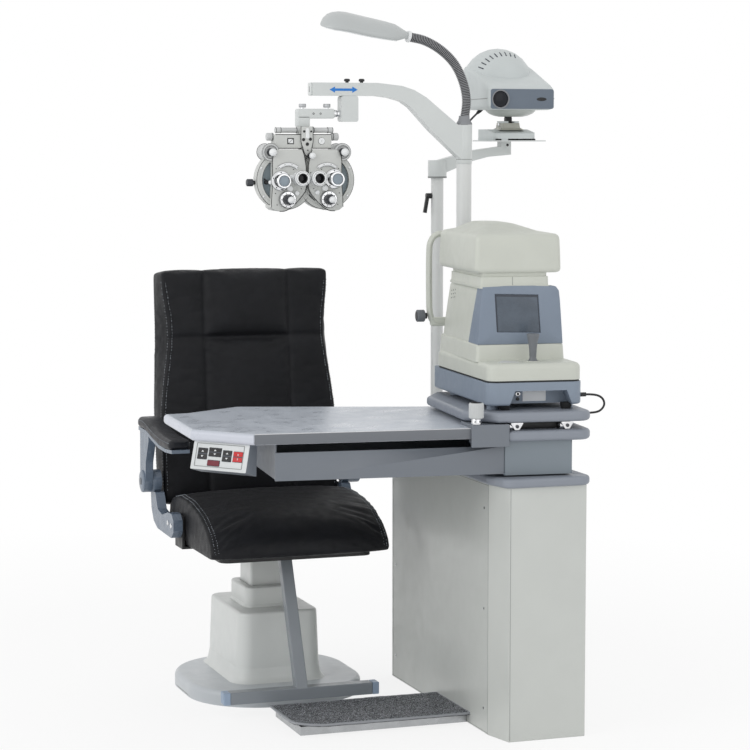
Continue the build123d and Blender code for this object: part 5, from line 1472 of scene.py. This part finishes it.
def settle(piece, pinned, pressure, cap, frames=20, shrink=-0.02):
    """Blow the piece up like a stuffed cover with Cloth, the seams held, and keep the result."""
    group = piece.vertex_groups.new(name="seams")
    for index, weight in pinned.items():
        group.add([index], weight, "REPLACE")
    start = [vertex.co.copy() for vertex in piece.data.vertices]
    cloth = piece.modifiers.new("stuffing", "CLOTH")
    settings = cloth.settings
    settings.quality = 5
    settings.mass = 0.3
    settings.tension_stiffness = 12
    settings.compression_stiffness = 12
    settings.shear_stiffness = 5
    settings.bending_stiffness = 0.6
    settings.use_pressure = True
    settings.uniform_pressure_force = pressure
    settings.effector_weights.gravity = 0
    settings.shrink_min = shrink
    settings.vertex_group_mass = "seams"
    cloth.point_cache.frame_start = 1
    cloth.point_cache.frame_end = frames
    for number in range(1, frames + 1):
        SCENE.frame_set(number)
    graph = bpy.context.evaluated_depsgraph_get()
    result = piece.evaluated_get(graph).data
    for vertex, before, after in zip(piece.data.vertices, start, result.vertices):
        shift = after.co - before
        limit = cap * M
        if shift.length > limit:
            shift *= limit / shift.length
        vertex.co = before + shift
    piece.modifiers.remove(cloth)
    SCENE.frame_set(1)


def cushion_mesh(name, patch):
    """Closed cushion remeshed to even cells."""
    mesh = bpy.data.meshes.new(name)
    verts, faces = patch
    mesh.from_pydata([Vector(vert) * M for vert in verts], [], faces)
    normals_out(mesh)
    piece = bpy.data.objects.new(name, mesh)
    SCENE.collection.objects.link(piece)
    remesh = piece.modifiers.new("cells", "REMESH")
    remesh.mode = "VOXEL"
    remesh.voxel_size = CELL * M
    graph = bpy.context.evaluated_depsgraph_get()
    even = bpy.data.meshes.new_from_object(piece.evaluated_get(graph))
    piece.modifiers.remove(remesh)
    piece.data = even
    even.name = name
    return piece


def crease_depth(distance, width, depth):
    """Depth of a sewn channel at a distance from its line."""
    return depth * math.exp(-(distance / width) ** 2)


def finish_cushion(piece, finish, body, node):
    piece.data.materials.clear()
    piece.data.materials.append(MAT[finish])
    piece.data.polygons.foreach_set("use_smooth", [True] * len(piece.data.polygons))
    subdivided(piece, 1)
    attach(piece, body)
    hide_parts(node)


def skin_of(piece):
    work = bmesh.new()
    work.from_mesh(piece.data)
    tree = BVHTree.FromBMesh(work)
    work.free()
    return tree


def stitches(name, lines, tree, body, length=5.0, gap=2.6, radius=0.75, proud=0.3):
    """Rows of separate stitches laid onto a cushion's skin, each drawn from its neighbours' spacing."""
    shape = Shape()
    for line in lines:
        path = smooth_path(line, 10)
        lay = []
        for point in path:
            spot, normal, _, _ = tree.find_nearest(point * M)
            lay.append((spot / M, normal))
        run = 0.0
        for (a, na), (b, nb) in zip(lay, lay[1:]):
            span = (b - a).length
            while run < span:
                first = a.lerp(b, run / span)
                last = a.lerp(b, min(1.0, (run + length) / span))
                out = (na + nb).normalized()
                middle = (first + last) / 2 + out * (proud + 0.35)
                shape.add(tube([first + out * (proud - 0.7), middle, last + out * (proud - 0.7)], radius, 5),
                          "thread")
                run += length + gap
            run -= span
    shape.make(name, body)


SEAT_SIDE = [(92, 404), (84, 440), (74, 470), (40, 492), (-20, 502), (-90, 501), (-141, 497), (-200, 486),
             (-238, 475), (-294, 448), (-326, 424), (-340, 402), (-334, 390), (-312, 386), (-150, 386), (0, 386),
             (70, 390)]
SEAT_LOW, SEAT_TOP = 385.2, 527                           # the skin stays between these heights
SEAT_FLAT = 392                                           # below this the seat lies on its pan
CELL = 6.5                                                # of the cushions' even meshes


def seat_cushion():
    """Seat with a crowned middle, a long waterfall front and boxed sides."""
    low, high = box_in("seat_cushion")
    half = (high.x - low.x) / 2
    rings = []
    for step in range(25):
        x = -half + 2 * half * step / 24
        share = abs(x) / half
        swell = (1 - share ** 4) ** 0.8
        points = []
        for y, z in SEAT_SIDE:
            up = min(1.0, max(0.0, (z - 400) / 60))
            forward = min(1.0, max(0.0, (-y - 180) / 110))
            dz = (7 + 17 * forward) * swell * up
            dy = -26 * swell * forward * (1 if z > SEAT_FLAT else 0.8)
            points.append((x * 0.985, y * 0.985 + dy, z + dz))
        rings.append(points)
    piece = cushion_mesh("seat_pad", loft(rings))
    pinned = {}
    edge = half * 0.985
    for vertex in piece.data.vertices:
        x, y, z = vertex.co / M
        on_bottom = z < SEAT_FLAT
        near_edge = abs(abs(x) - edge) < 4 and abs(z - seat_profile(y)) < 14
        if on_bottom or near_edge:
            pinned[vertex.index] = 1.0
    settle(piece, pinned, 3.0, 10, shrink=-0.002)
    for vertex in piece.data.vertices:
        point = vertex.co / M
        wrinkle = noise.noise(Vector((point.x * 0.012, point.y * 0.03, point.z * 0.03))) * 1.3
        fine = noise.noise(Vector((point.x * 0.05, point.y * 0.02, 9.0))) * 0.6
        vertex.co += vertex.normal * (wrinkle + fine) * M if point.z > 396 else Vector((0, 0, 0))
        vertex.co.z = min(max(vertex.co.z, SEAT_LOW * M), SEAT_TOP * M)
        vertex.co.x = min(max(vertex.co.x, -(half + 4) * M), (half + 4) * M)
    tree = skin_of(piece)
    finish_cushion(piece, "black_leather", "seat", "seat_cushion")
    lines = []
    for side in (-1, 1):
        for offset in (7, 16):
            line = []
            for y in (74, 40, -20, -90, -150, -200, -238, -294, -322, -338):
                line.append((side * (edge - offset), y, seat_profile(y) + 6))
            line.append((side * (edge - offset), -346, 402))
            lines.append(line)
    stitches("seat_stitching", lines, tree, "seat")


def seat_profile(y):
    """Height of the seat's top edge at a depth."""
    return height_at(SEAT_SIDE[2:12][::-1], y)


BACK = at(0, 89.5, 470) @ spun(-5.7, "X")
BACK_FRONT = [(0, 236), (240, 236), (300, 228), (413, 211), (467, 211), (560, 224), (602, 226)]
BACK_REAR = [(0, 240), (257, 243), (467, 237), (602, 232)]
BACK_HEIGHT = 602
BACK_DEPTH = (3, 81)
BACK_SEAM = 113
BACK_CROSS = 424
BACK_FOLDS = [((-106, 404), (-48, 380)), ((-108, 386), (-66, 356)), ((-60, 416), (-18, 404)), ((106, 404), (52, 384)),
              ((108, 388), (70, 350)), ((60, 416), (24, 408)), ((-108, 330), (-84, 300)), ((108, 322), (90, 296))]


def back_cushion():
    """Backrest with sewn panels, a bulging headrest over a deep seam and boxed sides."""
    rings = []
    front, rear = BACK_DEPTH
    edge = 9
    heights = [0, 1, 3, 6, 10] + [20 + 14 * step for step in range(41)] + [590, 595, 599, 601, BACK_HEIGHT]
    for h in heights:
        near_end = min(h, BACK_HEIGHT - h)
        inset = edge - math.sqrt(edge ** 2 - (edge - near_end) ** 2) if near_end < edge else 0.0
        narrow, wide = height_at(BACK_FRONT, h) - inset - 1, height_at(BACK_REAR, h) - inset - 1
        section = soft_corners([(-narrow, front + inset), (narrow, front + inset),
                                (wide, rear - inset), (-wide, rear - inset)], 11, 4)
        share = max(0.0, (h - 500) / 102)
        rings.append([(x, y, h - 5 + 6 * share * (1 - (x / 232) ** 2)) for x, y in section])
    piece = cushion_mesh("back_pad", loft(rings))
    for vertex in piece.data.vertices:
        vertex.co = (BACK @ (vertex.co / M)) * M
    inverse = BACK.inverted()
    pinned = {}
    for vertex in piece.data.vertices:
        x, y, h = inverse @ (vertex.co / M)
        border = height_at(BACK_FRONT, h)
        on_seam = abs(abs(x) - BACK_SEAM) < 4.5 or abs(h - BACK_CROSS) < 4.5
        on_border = abs(abs(x) - border) < 9 and y < 24
        if y > 56 or on_seam or on_border:
            pinned[vertex.index] = 1.0
    settle(piece, pinned, 3.2, 11, shrink=-0.004)
    inward = BACK.to_3x3() @ Vector((0, 1, 0))
    for vertex in piece.data.vertices:
        x, y, h = inverse @ (vertex.co / M)
        if y > 40:
            continue
        above = h > BACK_CROSS
        across = abs(h - BACK_CROSS)
        push = crease_depth(abs(abs(x) - BACK_SEAM), 4.5, 4.0)
        push += crease_depth(across, 5 if above else 11, 8.0 if abs(x) < BACK_SEAM else 3.5)
        push += crease_depth(abs(abs(x) - height_at(BACK_FRONT, h) + 11), 3, 1.2)
        middle = max(0.0, 1 - (x / BACK_SEAM) ** 4)
        swell = 0.0
        if above:
            rise = min(1.0, across / 34)
            swell = 11 * middle * math.sin(math.radians(90 * rise)) * (1 - 0.5 * max(0.0, (h - 520) / 82) ** 2)
        else:
            swell = 3.5 * middle * min(1.0, across / 60)
        fold = 0.0
        for (xa, ha), (xb, hb) in BACK_FOLDS:
            run = Vector((xb - xa, hb - ha))
            share = max(0.0, min(1.0, Vector((x - xa, h - ha)).dot(run) / run.length_squared))
            gap = (Vector((x - xa, h - ha)) - run * share).length
            fold += crease_depth(gap, 4.5, 2.4 * (1 - share * 0.8)) - crease_depth(gap - 9, 6, 1.0 * (1 - share))
        wide = noise.noise(Vector((x * 0.011, h * 0.011, 6.0))) * 1.5
        vertex.co += inward * (push + fold - wide - swell) * M
    tree = skin_of(piece)
    finish_cushion(piece, "black_leather", "back", "backrest_cushion")
    lines = []
    rows = (30, 120, 200, 260, 320, 380, 424, 470, 520, 570)
    for side in (-1, 1):
        for offset, depth in ((4, 14), (9, 0)):
            lines.append([BACK @ Vector((side * (height_at(BACK_FRONT, h) - offset), depth, h)) for h in rows])
    lines.append([BACK @ Vector((-height_at(BACK_REAR, h) - 2, 66, h)) for h in rows])
    lines.append([BACK @ Vector((height_at(BACK_REAR, h) + 2, 66, h)) for h in rows])
    stitches("back_stitching", lines, tree, "back", radius=0.6)


def smoothed(outline, per_run=4):
    return [(point.x, point.y) for point in smooth_path([(a, b, 0) for a, b in outline], per_run)]


PAD_UNDER = [(-214, 646), (-150, 642), (-85, 644), (-15, 654), (50, 665), (128, 667)]
PAD_OVER = [(130, 688), (100, 693), (50, 692), (-15, 680), (-85, 671), (-150, 668), (-214, 668)]


def arm_pad(side):
    """Wavy leather pad with a crowned top and two rows of pale stitching."""
    word = "left" if side > 0 else "right"
    node = "armrest_pad_" + word
    low, high = box_in(node)
    x_mid = (low.x + high.x) / 2
    half = (high.x - low.x) / 2
    under = smoothed(PAD_UNDER, 5)
    over = smoothed(PAD_OVER[::-1], 5)
    rings = []
    count = 40
    for step in range(count + 1):
        share = step / count
        y = -214 + 344 * share
        z_low = height_at(under, y)
        z_high = height_at(over, y)
        end = min(share, 1 - share) * 344
        taper = math.sqrt(max(0.0, 1 - (1 - min(1.0, end / 20)) ** 2))
        width = half * (0.55 + 0.45 * taper)
        middle = (z_low + z_high) / 2
        thick = (z_high - z_low) / 2 * (0.5 + 0.5 * taper)
        points = []
        for x, z in ring(width, thick, min(thick * 0.8, 10), 6):
            crown = 3.5 * (1 - (x / width) ** 2) * taper if z > 0 else 0.0
            points.append((x_mid + x, y, middle + z + crown))
        rings.append(points)
    shape = Shape()
    shape.add(loft(rings), "pad_leather")
    piece = shape.make("arm_pad_" + word, "arm_" + word, (node,), subdivide=1, sharp=80)
    tree = skin_of(piece)
    lines = []
    for edge in (-1, 1):
        line = []
        for step in range(12):
            y = -200 + 314 * step / 11
            line.append((x_mid + edge * (half - 1), y, height_at(over, y) - 7))
        lines.append(line)
    stitches("arm_pad_stitching_" + word, lines, tree, "arm_" + word, radius=0.7)


def height_at(curve, y):
    if y <= curve[0][0]:
        return curve[0][1]
    for (ya, za), (yb, zb) in zip(curve, curve[1:]):
        if ya <= y <= yb and yb > ya:
            return za + (zb - za) * (y - ya) / (yb - ya)
    return curve[-1][1]


def arm_trim_chair(side):
    """Hinge cap and bolts of an armrest."""
    word = "left" if side > 0 else "right"
    cap = Shape(at(290.3 * side, 106, 527) @ spun(90 * side, "Y"))
    cap.turned([(29, 0), (28.4, 2.5), (24, 4.2), (12, 5.2), (0, 5.4)], "arm_plastic", steps=48)
    cap.turned([(9, 4.6), (9, 6.2), (7.6, 7), (0, 7)], "smoked_plastic", steps=30)
    cap.make("arm_hinge_cap_" + word, "arm_" + word)
    bolts = Shape()
    for y, z in ((-84, 438), (-52, 441)):
        bolts.turned([(6.5, 0), (6.3, 2), (4.6, 3), (0, 3.2)], "chrome",
                     at(264 * side, y, z) @ spun(90 * side, "Y"), 24)
    bolts.make("arm_bolts_" + word, "seat")


# ------------------------------------------------------------------ everything
def build_all():
    camera()
    cord("instrument_lead", REFRACTOR_CORD, 2.6, "platform", "refractor_cable", TABLE)
    cord("projector_lead", PROJECTOR_CORD, 2.5, "projector_arm", "projector_cable")
    sky(0.8)
    soft_lamp("key", (-4.3, -1.9, 2.5), (0.3, -0.3, 0.8), 3.0, 46)
    soft_lamp("fill", (1.6, -4.4, 2.2), (0.3, -0.4, 0.8), 2.4, 9)
    floor()
    dress_frame()
    refractor_body()
    refractor_trim()
    refractor_head()
    joystick()
    chinrest()
    chin_knob()
    lock_knob()
    base_trim()
    phoropter_half(1, "left_half")
    phoropter_half(-1, "right_half")
    phoropter_dial(1, "left_dial")
    phoropter_dial(-1, "right_dial")
    phoropter_bridge()
    hanger()
    arm_trim()
    gooseneck()
    lamp_head()
    projector_body()
    projector_trim()
    cabinet_trim()
    foot_mat()
    control_panel()
    drawer_gap()
    front_edge()
    roller_trim()
    chair_base_trim()
    seat_cushion()
    back_cushion()
    for side in (-1, 1):
        arm_pad(side)
        arm_trim_chair(side)


build_all()
